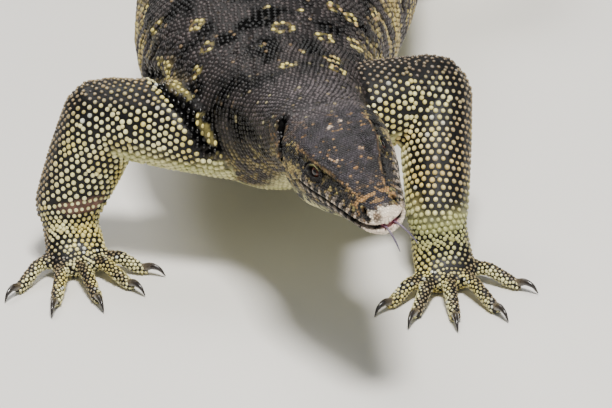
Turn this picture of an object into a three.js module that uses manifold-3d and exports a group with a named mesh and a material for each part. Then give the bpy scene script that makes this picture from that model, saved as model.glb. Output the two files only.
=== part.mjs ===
// A water monitor lizard standing on four feet, its neck turned a little to its own left and its forked
// tongue out: a still, life-size display model. Millimetres, +Z up, facing -Y, resting on z = 0.
// +X is the animal's left. The shoulders stand at y = 0 until the whole is centred at the end.
import * as THREE from "three";
import { mergeVertices } from "three/addons/utils/BufferGeometryUtils.js";
import Module from "manifold-3d";

const wasm = await Module();
wasm.setup();

// Driving sizes
const seam = 0.3; // gap that neighbouring pieces keep
const headSize = 0.93; // of the head's own sizes below
const headLength = 112; // snout tip to nape, before headSize
const headYaw = 16; // degrees, towards the animal's left
const headPitch = 3.5; // degrees, nose down
const headRoll = 12; // degrees, left side up
const nape = [17, -84, 118]; // centre of the head's back face
const hips = [40, 328]; // sideways and behind the shoulders
const vent = [45, 374];
const tailLength = 900;
const eyeRadius = 5.6;
const eyeDepth = 0.3; // of an eyeball's front under the skin
const mouthCorner = 70; // behind the snout tip
const clawLength = 12;

const degrees = THREE.MathUtils.degToRad;
const worldUp = new THREE.Vector3(0, 0, 1);
const vector = (p) => new THREE.Vector3(...p);
const bell = (x, centre, width) => Math.exp(-(((x - centre) / width) ** 2));

// Solids and booleans
function solid(geometry) {
  const bare = geometry.index ? geometry.toNonIndexed() : geometry.clone();
  bare.deleteAttribute("normal");
  bare.deleteAttribute("uv");
  const merged = mergeVertices(bare, 1e-4);
  return new wasm.Manifold(
    new wasm.Mesh({
      numProp: 3,
      vertProperties: new Float32Array(merged.attributes.position.array),
      triVerts: new Uint32Array(merged.index.array),
    }),
  );
}

const union = (pieces) => pieces.reduce((whole, piece) => whole.add(piece));

// The largest closed surface of a solid, so that no scrap or sealed hollow is left.
function body(piece) {
  return piece.decompose().reduce((a, b) => (a.volume() > b.volume() ? a : b));
}

// A closed skin over rings of points: a fan closes each end.
function skin(rings) {
  const sides = rings[0].length;
  const points = rings.flat();
  const faces = [];
  for (let r = 0; r + 1 < rings.length; r++)
    for (let k = 0; k < sides; k++) {
      const [a, b] = [r * sides + k, r * sides + ((k + 1) % sides)];
      faces.push(a, b, b + sides, a, b + sides, a + sides);
    }
  for (const [start, turn] of [[0, true], [(rings.length - 1) * sides, false]]) {
    const middle = new THREE.Vector3();
    for (let k = 0; k < sides; k++) middle.addScaledVector(points[start + k], 1 / sides);
    points.push(middle);
    for (let k = 0; k < sides; k++) {
      const [a, b] = [start + k, start + ((k + 1) % sides)];
      faces.push(...(turn ? [b, a] : [a, b]), points.length - 1);
    }
  }
  const geometry = new THREE.BufferGeometry().setFromPoints(points);
  geometry.setIndex(faces);
  const made = solid(geometry);
  return made.volume() > 0 ? made : solid(geometry.setIndex(faces.reverse()));
}

// A point of a section: half sizes sideways, up and down, squarer as the power rises.
function sectionPoint([side, up, down], angle, power) {
  const [c, s] = [Math.cos(angle), Math.sin(angle)];
  const reach = (x) => Math.sign(x) * Math.abs(x) ** (2 / power);
  return [side * reach(c), (s > 0 ? up : down) * reach(s)];
}

const capTurns = [36, 70]; // degrees round a domed end

// Stations are { at, half }. Both run through smooth curves, and a dome may round the ends.
function limbRings(stations, options) {
  const { sides, perSpan, grow = 0, dome = 0, openStart = false, power = 2.1, reference = worldUp } = options;
  const line = new THREE.CatmullRomCurve3(stations.map((s) => vector(s.at)), false, "catmullrom", 0.5);
  const sizes = new THREE.CatmullRomCurve3(stations.map((s) => vector(s.half)), false, "catmullrom", 0.5);
  const count = (stations.length - 1) * perSpan;
  const steps = Array.from({ length: count + 1 }, (_, i) => ({ t: i / count, slide: 0, shrink: 1 }));
  if (dome)
    for (const turn of capTurns.map(degrees)) {
      const cap = { slide: dome * Math.sin(turn), shrink: Math.cos(turn) };
      if (!openStart) steps.unshift({ t: 0, slide: -cap.slide, shrink: cap.shrink });
      steps.push({ t: 1, ...cap });
    }
  return steps.map(({ t, slide, shrink }) => {
    const forward = line.getTangent(t);
    const side = forward.clone().cross(reference).normalize();
    const up = side.clone().cross(forward).normalize();
    const half = sizes.getPoint(t).toArray().map((h) => h + grow);
    const centre = line.getPoint(t).addScaledVector(forward, slide * (half[0] + half[1]) * 0.5);
    return Array.from({ length: sides }, (_, k) => {
      const [x, z] = sectionPoint(half, (k / sides) * 2 * Math.PI, power);
      return centre.clone().addScaledVector(side, x * shrink).addScaledVector(up, z * shrink);
    });
  });
}

const limb = (stations, options) => skin(limbRings(stations, options));
const aboveFloor = (piece) => piece.trimByPlane([0, 0, 1], 0);

// Keeps what lies ahead of a plane through a point, along a direction.
function ahead(piece, point, direction) {
  const normal = direction.clone().normalize();
  return piece.trimByPlane(normal.toArray(), normal.dot(point));
}

// Head, in its own frame: the snout points along -Y, and the nape's centre is the origin
const headPlace = new THREE.Matrix4()
  .makeTranslation(...nape)
  .multiply(new THREE.Matrix4().makeRotationZ(degrees(headYaw)))
  .multiply(new THREE.Matrix4().makeRotationX(degrees(headPitch)))
  .multiply(new THREE.Matrix4().makeRotationY(degrees(-headRoll)))
  .scale(new THREE.Vector3(headSize, headSize, headSize));
const place = (piece) => piece.transform(headPlace.elements);

// Behind the snout tip: half width, height over the mouth line and depth under it, squareness, and how
// much narrower the crown is than the lips.
const headSections = [
  { behind: 0, half: [3.4, 2.4, 4.4], power: 2, taper: 0.05 },
  { behind: 2.2, half: [7.6, 6, 7], power: 2.1, taper: 0.08 },
  { behind: 7, half: [11.3, 9, 9], power: 2.2, taper: 0.12 },
  { behind: 15, half: [14.3, 11, 11], power: 2.4, taper: 0.16 },
  { behind: 28, half: [18, 12.6, 13.6], power: 2.7, taper: 0.2 },
  { behind: 43, half: [22, 14.6, 18], power: 3, taper: 0.2 },
  { behind: 57, half: [26, 16.6, 24], power: 3.2, taper: 0.18 },
  { behind: 72, half: [28.8, 17, 31.2], power: 2.9, taper: 0.17 },
  { behind: 87, half: [30.8, 16, 36], power: 2.7, taper: 0.16 },
  { behind: 100, half: [29.8, 14.6, 34.6], power: 2.5, taper: 0.1 },
  { behind: headLength, half: [27.4, 14, 29], power: 2.2, taper: 0.04 },
];
// Swellings and hollows of the head: place behind the snout, height angle, share of the half size.
const headForms = [
  { name: "brow", behind: 55, length: 11, angle: 52, spread: 11, lift: 0.11 },
  { name: "eye hollow", behind: 57, length: 8, angle: 20, spread: 9, lift: -0.02 },
  { name: "canthus", behind: 33, length: 13, angle: 48, spread: 12, lift: 0.04 },
  { name: "snout side", behind: 38, length: 13, angle: 24, spread: 11, lift: -0.05 },
  { name: "nostril", behind: 12, length: 5, angle: 42, spread: 16, lift: 0.07 },
  { name: "temple", behind: 82, length: 13, angle: 30, spread: 18, lift: 0.04 },
  { name: "crown", behind: 70, length: 26, angle: 90, spread: 14, lift: -0.04 },
  { name: "jaw muscle", behind: 90, length: 13, angle: -30, spread: 25, lift: 0.06 },
];
const lipSwell = { angle: 8, spread: 4.5, lift: 0.04 };

const mouthLineAt = (behind) => -6 + 6 * Math.sin((Math.PI / 2) * (behind / headLength));
const mouthGapAt = (behind) => 0.6 + 2.1 * Math.max(0, 1 - behind / 34);

// Reads a value between the head's stations along a smooth curve.
function headSizesAt(behind) {
  const last = headSections.length - 1;
  let i = 0;
  while (i < last - 1 && headSections[i + 1].behind <= behind) i++;
  const [a, b] = [headSections[i], headSections[i + 1]];
  const u = (behind - a.behind) / (b.behind - a.behind);
  const before = headSections[Math.max(0, i - 1)];
  const after = headSections[Math.min(last, i + 2)];
  const slope = (p, q, key) => (key(q) - key(p)) / Math.max(q.behind - p.behind, 1e-6);
  const read = (key) => {
    const span = b.behind - a.behind;
    const [m0, m1] = [slope(before, b, key) * span, slope(a, after, key) * span];
    const [u2, u3] = [u * u, u * u * u];
    return (
      (2 * u3 - 3 * u2 + 1) * key(a) + (u3 - 2 * u2 + u) * m0 + (3 * u2 - 2 * u3) * key(b) + (u3 - u2) * m1
    );
  };
  return {
    half: [0, 1, 2].map((k) => read((s) => s.half[k])),
    power: read((s) => s.power),
    taper: read((s) => s.taper),
  };
}

// A point of the head's surface. The angle is 0 at the animal's left lip and 90 at the crown.
function headPoint(behind, angle) {
  const { half, power, taper } = headSizesAt(behind);
  const folded = Math.cos(angle) < 0 ? Math.sign(Math.sin(angle)) * Math.PI - angle : angle;
  const height = THREE.MathUtils.radToDeg(Math.atan2(Math.sin(folded), Math.cos(folded)));
  let size = 1;
  for (const f of headForms)
    size += f.lift * bell(behind, f.behind, f.length) * bell(height, f.angle, f.spread);
  const lips = bell(Math.abs(height), lipSwell.angle, lipSwell.spread);
  size += lipSwell.lift * lips * THREE.MathUtils.smoothstep(mouthCorner + 4 - behind, 0, 12);
  const [x, z] = sectionPoint(half, angle, power);
  const narrowed = 1 - (z > 0 ? (taper * z) / half[1] : (-0.1 * z) / half[2]);
  return new THREE.Vector3(x * size * narrowed, behind - headLength, z * size + mouthLineAt(behind));
}

function headNormal(behind, angle) {
  const step = 0.5;
  const along = headPoint(behind + step, angle).sub(headPoint(behind - step, angle));
  const around = headPoint(behind, angle + 0.02).sub(headPoint(behind, angle - 0.02));
  return along.cross(around).normalize();
}

function headShell() {
  const sides = 36;
  const stops = [0, 0.8, 2.2, 4.4, 7, 10.5];
  for (let stop = 15; stop < headLength - 1; stop += 5.4) stops.push(stop);
  stops.push(headLength);
  return skin(
    stops.map((behind) =>
      Array.from({ length: sides }, (_, k) => {
        const even = (k / sides) * 2 * Math.PI;
        return headPoint(behind, even - 0.36 * Math.sin(2 * even)); // closer together at the lips
      }),
    ),
  );
}

// A slab across the head under a line in side view: what it takes is the lower jaw.
function jawSlab(clearance) {
  const outline = new THREE.Shape();
  outline.moveTo(-20, -60);
  for (let behind = -20; behind <= mouthCorner; behind += 9) {
    const from = Math.max(behind, 0);
    outline.lineTo(behind, mouthLineAt(from) + (clearance ? 0.5 : -0.5) * mouthGapAt(from));
  }
  outline.lineTo(mouthCorner + clearance, mouthLineAt(mouthCorner) - 1.5);
  outline.lineTo(mouthCorner + 13 + clearance, -19);
  outline.lineTo(mouthCorner + 20 + clearance, -60);
  const slab = new THREE.ExtrudeGeometry(outline, { depth: 100, bevelEnabled: false });
  slab.translate(0, 0, -50);
  const turn = new THREE.Matrix4().set(0, 0, 1, 0, 1, 0, 0, -headLength, 0, 1, 0, 0, 0, 0, 0, 1);
  return solid(slab.applyMatrix4(turn));
}

const eyeSpot = { behind: 57, angle: 27 };
const eyeOpening = [4.7, 3.1]; // half length and half height
const eyeTilt = -6; // degrees, the front corner lower
const nostrilSpot = { behind: 10, angle: 43 };
const earSpot = { behind: 97, angle: 14 };

// Left is side 1 and right is side -1.
function onHead({ behind, angle }, side) {
  const turn = side > 0 ? degrees(angle) : Math.PI - degrees(angle);
  return { point: headPoint(behind, turn), normal: headNormal(behind, turn) };
}

function eyeCentre(side) {
  const { point, normal } = onHead(eyeSpot, side);
  return point.addScaledVector(normal, -eyeDepth - eyeRadius);
}

const ball = (radius, centre) =>
  solid(new THREE.SphereGeometry(radius, 16, 11).translate(centre.x, centre.y, centre.z));

// Directions at a spot of the head: along towards the snout, up over the skin, and out of it.
function spotFrame(spot, side, tilt = 0) {
  const { point, normal } = onHead(spot, side);
  const along = new THREE.Vector3(0, -1, 0).projectOnPlane(normal).normalize();
  const up = side > 0 ? along.clone().cross(normal).negate() : along.clone().cross(normal);
  const turn = degrees(tilt);
  const lean = along.clone().multiplyScalar(Math.cos(turn)).addScaledVector(up, Math.sin(turn));
  const rise = up.clone().multiplyScalar(Math.cos(turn)).addScaledVector(along, -Math.sin(turn));
  return { point, normal, along: lean, up: rise };
}

// A flattened ball sunk at a spot of the head.
function pit(spot, side, [long, tall, deep], tilt) {
  const { point, normal, along, up } = spotFrame(spot, side, tilt);
  const turn = new THREE.Matrix4().makeBasis(along, up, normal).setPosition(point);
  const ellipsoid = new THREE.SphereGeometry(1, 12, 7).scale(long, tall, deep).applyMatrix4(turn);
  const made = solid(ellipsoid);
  if (made.volume() > 0) return made;
  return solid(new THREE.SphereGeometry(1, 12, 7).scale(long, tall, -deep).applyMatrix4(turn));
}

// A rounded rim round the opening of an eye, heavier above than below.
function lidRim(side) {
  const { point, normal, along, up } = spotFrame(eyeSpot, side, eyeTilt);
  const [loops, sides] = [16, 6];
  const points = [];
  const faces = [];
  for (let i = 0; i < loops; i++) {
    const turn = (i / loops) * 2 * Math.PI;
    const thick = 0.85 + 0.5 * Math.max(0, Math.sin(turn));
    const out = along.clone().multiplyScalar(Math.cos(turn)).addScaledVector(up, Math.sin(turn));
    const centre = point
      .clone()
      .addScaledVector(along, Math.cos(turn) * (eyeOpening[0] + 0.7))
      .addScaledVector(up, Math.sin(turn) * (eyeOpening[1] + 0.6))
      .addScaledVector(normal, 0.1);
    for (let k = 0; k < sides; k++) {
      const a = (k / sides) * 2 * Math.PI;
      points.push(
        centre.clone().addScaledVector(out, thick * Math.cos(a)).addScaledVector(normal, thick * Math.sin(a)),
      );
      const [n, m] = [((i + 1) % loops) * sides, (k + 1) % sides];
      faces.push(i * sides + k, i * sides + m, n + m, i * sides + k, n + m, n + k);
    }
  }
  const geometry = new THREE.BufferGeometry().setFromPoints(points);
  geometry.setIndex(faces);
  const made = solid(geometry);
  return made.volume() > 0 ? made : solid(geometry.setIndex(faces.reverse()));
}

function headParts() {
  let whole = headShell();
  for (const side of [1, -1]) {
    whole = whole.add(lidRim(side));
    whole = whole.subtract(ball(eyeRadius + seam, eyeCentre(side)));
    whole = whole.subtract(pit(eyeSpot, side, [...eyeOpening, 2.6], eyeTilt));
    whole = whole.subtract(pit(nostrilSpot, side, [2.1, 1.3, 2.6], 30));
    whole = whole.subtract(pit(earSpot, side, [2.9, 5.2, 2.6], 8));
  }
  return {
    head: body(whole.subtract(jawSlab(seam))),
    jaw: body(whole.intersect(jawSlab(0))),
    eyes: [1, -1].map((side) => ball(eyeRadius, eyeCentre(side))),
  };
}

// Forked tongue, lying on the lower jaw and bending down past the lips.
function tongue() {
  const rest = (behind) => mouthLineAt(behind) - 0.5 * mouthGapAt(behind) + 1.05;
  const stem = [15, 9, 3, -3].map((behind, i) => ({
    at: [0, behind - headLength, rest(Math.max(behind, 0))],
    half: [[2.6, 0.45, 0.45], [3.1, 0.6, 0.6], [3.3, 0.75, 0.75], [3.4, 0.8, 0.8]][i],
  }));
  const pieces = [limb(stem, { sides: 8, perSpan: 1 })];
  // the fork swings to the animal's left
  for (const side of [1, -1]) {
    const tine = [
      { at: [0.8 + side * 2.2, 2 - headLength, rest(0)], half: [1.1, 0.6, 0.6] },
      { at: [2 + side * 3.2, -4 - headLength, rest(0) - 0.1], half: [1, 0.7, 0.7] },
      { at: [2.6 + side * 4, -10 - headLength, rest(0) - 1], half: [0.85, 0.65, 0.65] },
      { at: [3 + side * 4.8, -15.5 - headLength, rest(0) - 2.8], half: [0.65, 0.55, 0.55] },
      { at: [3.2 + side * 5.4, -20 - headLength, rest(0) - 5], half: [0.45, 0.4, 0.4] },
    ];
    pieces.push(limb(tine, { sides: 7, perSpan: 2, dome: 0.6, openStart: true }));
  }
  return union(pieces);
}

// Neck, trunk and tail: one line of stations, parted by planes
const headAxis = new THREE.Vector3(0, -1, 0).transformDirection(headPlace);
const napePoint = vector(nape);
const along = (distance) => napePoint.clone().addScaledVector(headAxis, distance).toArray();

const trunkStations = [
  { at: along(13), half: [23.5, 11.5, 24.5] },
  { at: along(0), half: [25, 13.6, 26.4] },
  { at: [14, -60, 109], half: [28.5, 19.5, 29] },
  { at: [8, -32, 101], half: [35, 25.5, 35] },
  { at: [0, 2, 91], half: [48, 35, 46] },
  { at: [-7, 44, 85], half: [61, 43, 52] },
  { at: [-9, 95, 82], half: [71, 49, 57] },
  { at: [-4, 150, 80], half: [77.5, 51, 59] },
  { at: [7, 205, 79], half: [78, 50, 58] },
  { at: [24, 262, 78], half: [67, 47, 51] },
  { at: [...hips, 76], half: [50, 42, 42] },
  { at: [...vent, 70], half: [37, 37, 35] },
  { at: [46, vent[1] + 40, 61], half: [29, 32, 28.5] },
  { at: [46.4, vent[1] + 64, 55.4], half: [26.4, 30.6, 27.2] }, // past the join with the tail
];

// The tail swings from side to side on the floor: its heading follows a slow wave.
const tailWave = { reach: -34, turns: 0.84, start: 0.03 };
const tailSizes = [
  { along: 0.02, half: [32, 34.4, 31.4], height: 66 }, // ahead of the join with the trunk
  { along: 0.045, half: [28, 32, 28], height: 61 },
  { along: 0.12, half: [22.5, 28, 24.5], height: 46 },
  { along: 0.2, half: [18, 24.5, 21], height: 31 },
  { along: 0.29, half: [14.5, 21.5, 17.5], height: 20 },
  { along: 0.4, half: [11.5, 18, 14], height: 13.4 },
  { along: 0.53, half: [8.8, 14.2, 11], height: 10.4 },
  { along: 0.67, half: [6.4, 10.8, 8.2], height: 7.6 },
  { along: 0.8, half: [4.5, 7.8, 6], height: 5.4 },
  { along: 0.91, half: [2.9, 5, 4.1], height: 3.5 },
  { along: 1, half: [1.2, 2, 1.8], height: 1.3 },
];

function tailLine() {
  const steps = 200;
  const pace = tailLength / steps;
  const line = [[...vent, 0]];
  for (let i = 1; i <= steps; i++) {
    const share = i / steps;
    const heading = degrees(tailWave.reach) * Math.sin(2 * Math.PI * tailWave.turns * (share - tailWave.start));
    const [x, y] = line[i - 1];
    line.push([x + pace * Math.sin(heading), y + pace * Math.cos(heading), 0]);
  }
  return (share) => line[Math.round(share * steps)];
}
const tailAt = tailLine();
const tailStations = tailSizes.map(({ along: share, half, height }) => {
  const [x, y] = tailAt(share);
  return { at: [x, y, height], half };
});

const trunkOptions = { sides: 26, perSpan: 2, power: 2.15 };
const tailOptions = { sides: 14, perSpan: 2, power: 2.05 };
const trunkWhole = (grow) => limb(trunkStations, { ...trunkOptions, grow });

// Cuts across the line of the body: where, and the names of what lies behind each.
const trunkCuts = [
  { name: "neck", y: null },
  { name: "shoulders", y: -20 },
  { name: "trunk_front", y: 70 },
  { name: "trunk_rear", y: 195 },
  { name: "hips", y: 290 },
  { name: "tail_root", y: vent[1] + 4 },
];

function trunkParts() {
  const whole = trunkWhole(0);
  const back = new THREE.Vector3(0, 1, 0);
  const tailStart = vector(tailStations[tailJoin].at);
  return trunkCuts.map(({ name, y }, i) => {
    const next = trunkCuts[i + 1];
    let piece =
      y === null
        ? ahead(whole, napePoint.clone().addScaledVector(headAxis, -seam), headAxis.clone().negate())
        : ahead(whole, new THREE.Vector3(0, y, 0), back);
    const end = next ? new THREE.Vector3(0, next.y - seam, 0) : tailStart.clone().sub(new THREE.Vector3(0, seam, 0));
    piece = ahead(piece, end, back.clone().negate());
    return { name, piece: body(piece) };
  });
}

const tailJoin = 1; // station at which the tail meets the trunk
const tailCuts = [4, 6, 8]; // stations at which the tail is parted
function tailParts() {
  const whole = aboveFloor(limb(tailStations, tailOptions));
  const line = tailStations.map((s) => vector(s.at).setZ(0));
  const direction = (i) => line[i + 1].clone().sub(line[i - 1]).normalize();
  const stops = [tailJoin, ...tailCuts, null];
  return stops.slice(0, -1).map((start, i) => {
    let piece = ahead(whole, line[start], start === tailJoin ? new THREE.Vector3(0, 1, 0) : direction(start));
    const end = stops[i + 1];
    if (end) {
      const cut = direction(end);
      piece = ahead(piece, line[end].clone().addScaledVector(cut, -seam), cut.negate());
    }
    return { name: `tail_${i + 1}`, piece: body(piece) };
  });
}

// Legs: joints at rest, and half sizes of each length
const legs = [
  {
    name: "left_fore",
    side: 1,
    joints: { root: [26, 4, 84], middle: [82, 22, 83], end: [76, -29, 31] },
    heading: 6,
    kind: "fore",
  },
  {
    name: "right_fore",
    side: -1,
    joints: { root: [-24, -2, 79], middle: [-99, 27, 84], end: [-124, 28, 31] },
    heading: 10,
    kind: "fore",
    stout: 1.13, // its forearm bears more weight
  },
  {
    name: "left_hind",
    side: 1,
    joints: { root: [62, hips[1] + 2, 72], middle: [133, hips[1] + 12, 86], end: [143, hips[1] + 80, 29] },
    heading: 55,
    kind: "hind",
  },
  {
    name: "right_hind",
    side: -1,
    joints: { root: [18, hips[1] + 2, 72], middle: [-44, hips[1] + 44, 84], end: [-70, hips[1] + 116, 29] },
    heading: -65,
    kind: "hind",
  },
];

const legSizes = {
  fore: {
    upper: [25, 24, 21],
    lower: [20, 19, 16.5],
    names: ["upper_arm", "forearm", "hand"],
    palm: { length: 27, wrist: 15.4, wide: 16.5, thick: 7.6 },
    digitRadius: 4.2,
    digits: [
      { spread: 52, length: 25 },
      { spread: 27, length: 35 },
      { spread: 4, length: 41 },
      { spread: -19, length: 40 },
      { spread: -46, length: 31 },
    ],
  },
  hind: {
    upper: [33, 29.5, 22.5],
    lower: [21.5, 21.5, 16],
    names: ["thigh", "shin", "foot"],
    palm: { length: 40, wrist: 15.2, wide: 17, thick: 8 },
    digitRadius: 4.5,
    digits: [
      { spread: 40, length: 29 },
      { spread: 20, length: 42 },
      { spread: 2, length: 55 },
      { spread: -15, length: 66 },
      { spread: -48, length: 42 },
    ],
  },
};

const digitOptions = { sides: 6, perSpan: 1, dome: 0.8, power: 2, openStart: true };
const between = (a, b, share) => vector(a).lerp(vector(b), share);

// A length of leg between two joints, with a fuller middle.
function legLength(from, to, [start, middle, end], options) {
  const stations = [start, middle, end].map((r, i) => ({
    at: between(from, to, i / 2).toArray(),
    half: [r, r, r],
  }));
  return limb(stations, { sides: 14, perSpan: 2, dome: 0.85, power: 2, ...options });
}

// Palm, digits and claws of one foot. The first digit is on the inner side.
function foot(leg) {
  const { palm, digits, digitRadius } = legSizes[leg.kind];
  const [wx, wy, wz] = leg.joints.end;
  const aim = degrees(leg.heading);
  const forward = new THREE.Vector3(Math.sin(aim), -Math.cos(aim), 0);
  const across = new THREE.Vector3(Math.cos(aim), Math.sin(aim), 0).multiplyScalar(-leg.side); // inward
  const floorPoint = (reach, sideways, height) =>
    new THREE.Vector3(wx, wy, 0).addScaledVector(forward, reach).addScaledVector(across, sideways).setZ(height);
  const { length, wrist, wide, thick } = palm;
  const palmStations = [
    { at: [wx, wy, wz + 2], half: [wrist, wrist, wrist] },
    { at: floorPoint(length * 0.26, 0, 18).toArray(), half: [wrist + 0.6, wrist - 0.6, wrist] },
    { at: floorPoint(length * 0.62, 0, 10.6).toArray(), half: [wide, thick + 1, thick + 2.6] },
    { at: floorPoint(length, 0, 6.6).toArray(), half: [wide - 1, thick - 1.2, thick] },
  ];
  const lines = [[palmStations, { sides: 12, perSpan: 2, dome: 0.45, openStart: true }]];
  const claws = [];
  digits.forEach(({ spread, length: reach }, i) => {
    const aimOut = forward.clone().applyAxisAngle(worldUp, degrees(spread) * -leg.side);
    const back = i === 4 ? 0.5 : 0.8;
    const root = floorPoint(length * back, (2 - i) * wide * 0.42, 8);
    const point = (share, height) => root.clone().addScaledVector(aimOut, reach * share).setZ(height).toArray();
    const r = digitRadius;
    const stations = [
      { at: point(0, 7.4), half: [r * 1.1, r * 1.05, r * 1.3] },
      { at: point(0.42, 8.6), half: [r * 1.02, r, r * 1.1] },
      { at: point(0.75, 5), half: [r * 0.98, r * 0.95, r * 1.05] },
      { at: point(1, r - 1.1), half: [r * 0.86, r * 0.8, r * 0.9] },
    ];
    lines.push([stations, digitOptions]);
    const start = new THREE.Vector3(...point(1, r - 0.4));
    const claw = (share, height) => start.clone().addScaledVector(aimOut, clawLength * share).setZ(height).toArray();
    claws.push([
      { at: claw(0, r + 0.2), half: [2.2, 2.4, 2.2] },
      { at: claw(0.42, r + 1.7), half: [1.9, 2.2, 2] },
      { at: claw(0.8, r + 0.4), half: [1.3, 1.4, 1.3] },
      { at: claw(1.05, 1.1), half: [0.5, 0.5, 0.5] },
    ]);
  });
  const flesh = (grow) => union(lines.map(([stations, options]) => limb(stations, { ...options, grow })));
  const clawShape = { sides: 5, perSpan: 1, dome: 0.5, power: 2, openStart: true };
  const round = flesh(seam);
  return {
    paw: aboveFloor(flesh(0)),
    claws: claws.map((stations) => aboveFloor(limb(stations, clawShape)).subtract(round)),
  };
}

// One leg, parted by a plane across the bend and a level one at the wrist or ankle.
function legParts(leg, trunkGrown) {
  const sizes = legSizes[leg.kind];
  const { root, middle, end } = leg.joints;
  const lowerSizes = sizes.lower.map((radius) => radius * (leg.stout ?? 1));
  const [start, bend, wrist] = [root, middle, end].map(vector);
  const upperLine = bend.clone().sub(start).normalize();
  const lowerLine = wrist.clone().sub(bend).normalize();
  const reference = upperLine.clone().cross(lowerLine).normalize();
  const { paw, claws } = foot(leg);
  const whole = union([
    legLength(root, middle, sizes.upper, { reference }),
    legLength(middle, end, lowerSizes, { reference }),
    paw,
  ]).subtract(trunkGrown);
  const across = upperLine.clone().add(lowerLine).normalize();
  const beyond = ahead(whole, bend.clone().addScaledVector(across, seam), across);
  const [upperName, lowerName, footName] = sizes.names;
  const made = [
    { name: `${upperName}_${leg.name}`, piece: ahead(whole, bend, across.clone().negate()) },
    { name: `${lowerName}_${leg.name}`, piece: beyond.trimByPlane([0, 0, 1], end[2] + seam) },
    { name: `${footName}_${leg.name}`, piece: beyond.trimByPlane([0, 0, -1], -end[2]) },
  ].map(({ name, piece }) => ({ name, piece: body(piece), slot: "limb" }));
  claws.forEach((claw, i) => {
    made.push({ name: `claw_${leg.name}_${i + 1}`, piece: body(claw), slot: "claw" });
  });
  return made;
}

// Materials
const finishes = {
  back: { color: 0x2b2725, roughness: 0.55 },
  head: { color: 0x3a3233, roughness: 0.5 },
  limb: { color: 0x6b6542, roughness: 0.5 },
  tongue: { color: 0x4d4356, roughness: 0.25 },
  eye: { color: 0x1a0e0a, roughness: 0.08 },
  claw: { color: 0x1d1915, roughness: 0.3 },
};
const materials = Object.fromEntries(
  Object.entries(finishes).map(([slot, look]) => [slot, new THREE.MeshStandardMaterial({ ...look, metalness: 0 })]),
);

function nodeMesh({ name, piece, slot }) {
  const { vertProperties, triVerts, numProp, numVert } = piece.getMesh();
  const position = new Float32Array(numVert * 3);
  for (let i = 0; i < numVert; i++) position.set(vertProperties.subarray(i * numProp, i * numProp + 3), i * 3);
  const geometry = new THREE.BufferGeometry().setAttribute("position", new THREE.BufferAttribute(position, 3));
  geometry.setIndex(new THREE.BufferAttribute(triVerts, 1));
  geometry.computeVertexNormals();
  const mesh = new THREE.Mesh(geometry, materials[slot]);
  mesh.name = name;
  return mesh;
}

// Whole animal
const { head, jaw, eyes } = headParts();
const trunkGrown = trunkWhole(seam);
const nodes = [
  { name: "head", piece: place(head), slot: "head" },
  { name: "lower_jaw", piece: place(jaw), slot: "head" },
  { name: "eye_left", piece: place(eyes[0]), slot: "eye" },
  { name: "eye_right", piece: place(eyes[1]), slot: "eye" },
  { name: "tongue", piece: place(tongue()), slot: "tongue" },
  ...trunkParts().map((part) => ({ ...part, slot: "back" })),
  ...tailParts().map((part) => ({ ...part, slot: "back" })),
  ...legs.flatMap((leg) => legParts(leg, trunkGrown)),
];

const lizard = new THREE.Group();
for (const node of nodes) lizard.add(nodeMesh(node));

// The origin is under the middle of the animal's box.
const box = new THREE.Box3().setFromObject(lizard);
const middle = box.getCenter(new THREE.Vector3());
lizard.position.set(-middle.x, -middle.y, 0);

export default lizard;
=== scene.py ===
# Water monitor lizard, life size, standing with its tongue out.
# Sizes below are in millimetres from a point on the floor under the shoulders; toFrame() turns them into metres.
import math

import bmesh
import bpy
import numpy as np
from mathutils import Matrix, Vector
from mathutils.bvhtree import BVHTree
from mathutils.kdtree import KDTree


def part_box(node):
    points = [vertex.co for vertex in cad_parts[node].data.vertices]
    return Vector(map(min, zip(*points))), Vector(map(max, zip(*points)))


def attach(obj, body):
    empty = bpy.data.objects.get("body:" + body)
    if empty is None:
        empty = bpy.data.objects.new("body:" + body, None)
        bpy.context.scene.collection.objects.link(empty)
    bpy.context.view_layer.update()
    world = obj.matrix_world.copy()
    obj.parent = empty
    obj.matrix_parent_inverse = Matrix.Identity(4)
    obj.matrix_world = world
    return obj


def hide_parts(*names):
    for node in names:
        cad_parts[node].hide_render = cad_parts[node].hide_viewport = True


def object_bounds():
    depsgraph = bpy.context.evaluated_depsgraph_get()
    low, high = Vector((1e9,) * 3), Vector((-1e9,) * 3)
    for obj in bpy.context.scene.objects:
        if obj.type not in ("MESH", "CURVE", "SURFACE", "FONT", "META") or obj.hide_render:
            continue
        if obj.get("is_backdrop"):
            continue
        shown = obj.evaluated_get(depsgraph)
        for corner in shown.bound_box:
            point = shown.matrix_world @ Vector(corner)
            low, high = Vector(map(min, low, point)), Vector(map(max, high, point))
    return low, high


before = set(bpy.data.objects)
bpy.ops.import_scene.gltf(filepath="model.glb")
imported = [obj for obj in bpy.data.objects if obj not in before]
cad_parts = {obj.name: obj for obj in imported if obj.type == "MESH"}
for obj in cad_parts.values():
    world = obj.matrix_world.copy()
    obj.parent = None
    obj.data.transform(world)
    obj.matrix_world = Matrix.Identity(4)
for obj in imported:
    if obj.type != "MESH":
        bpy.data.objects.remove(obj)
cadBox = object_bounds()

rng = np.random.default_rng(41)
tau = 2 * math.pi
far = 99.0  # stands for out of reach
upward = np.array([0.0, 0.0, 1.0])
snoutward = np.array([0.0, -1.0, 0.0])
noiseKeys = np.array([374761393, 668265263, 1442695041])  # they scatter the noise's cells


def unit(v):
    return v / np.maximum(np.linalg.norm(v, axis=-1, keepdims=True), 1e-12)


def bell(x, centre, width):
    return np.exp(-(((x - centre) / width) ** 2))


# From 0 at low to 1 at high, and the other way round.
def smoothStep(x, low, high):
    t = np.clip((x - low) / (high - low), 0, 1)
    return t * t * (3 - 2 * t)


def fade(x, low, high):
    return 1 - smoothStep(x, low, high)


def mixed(a, b, share):
    return np.asarray(a) * (1 - share[:, None]) + np.asarray(b) * share[:, None]


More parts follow.
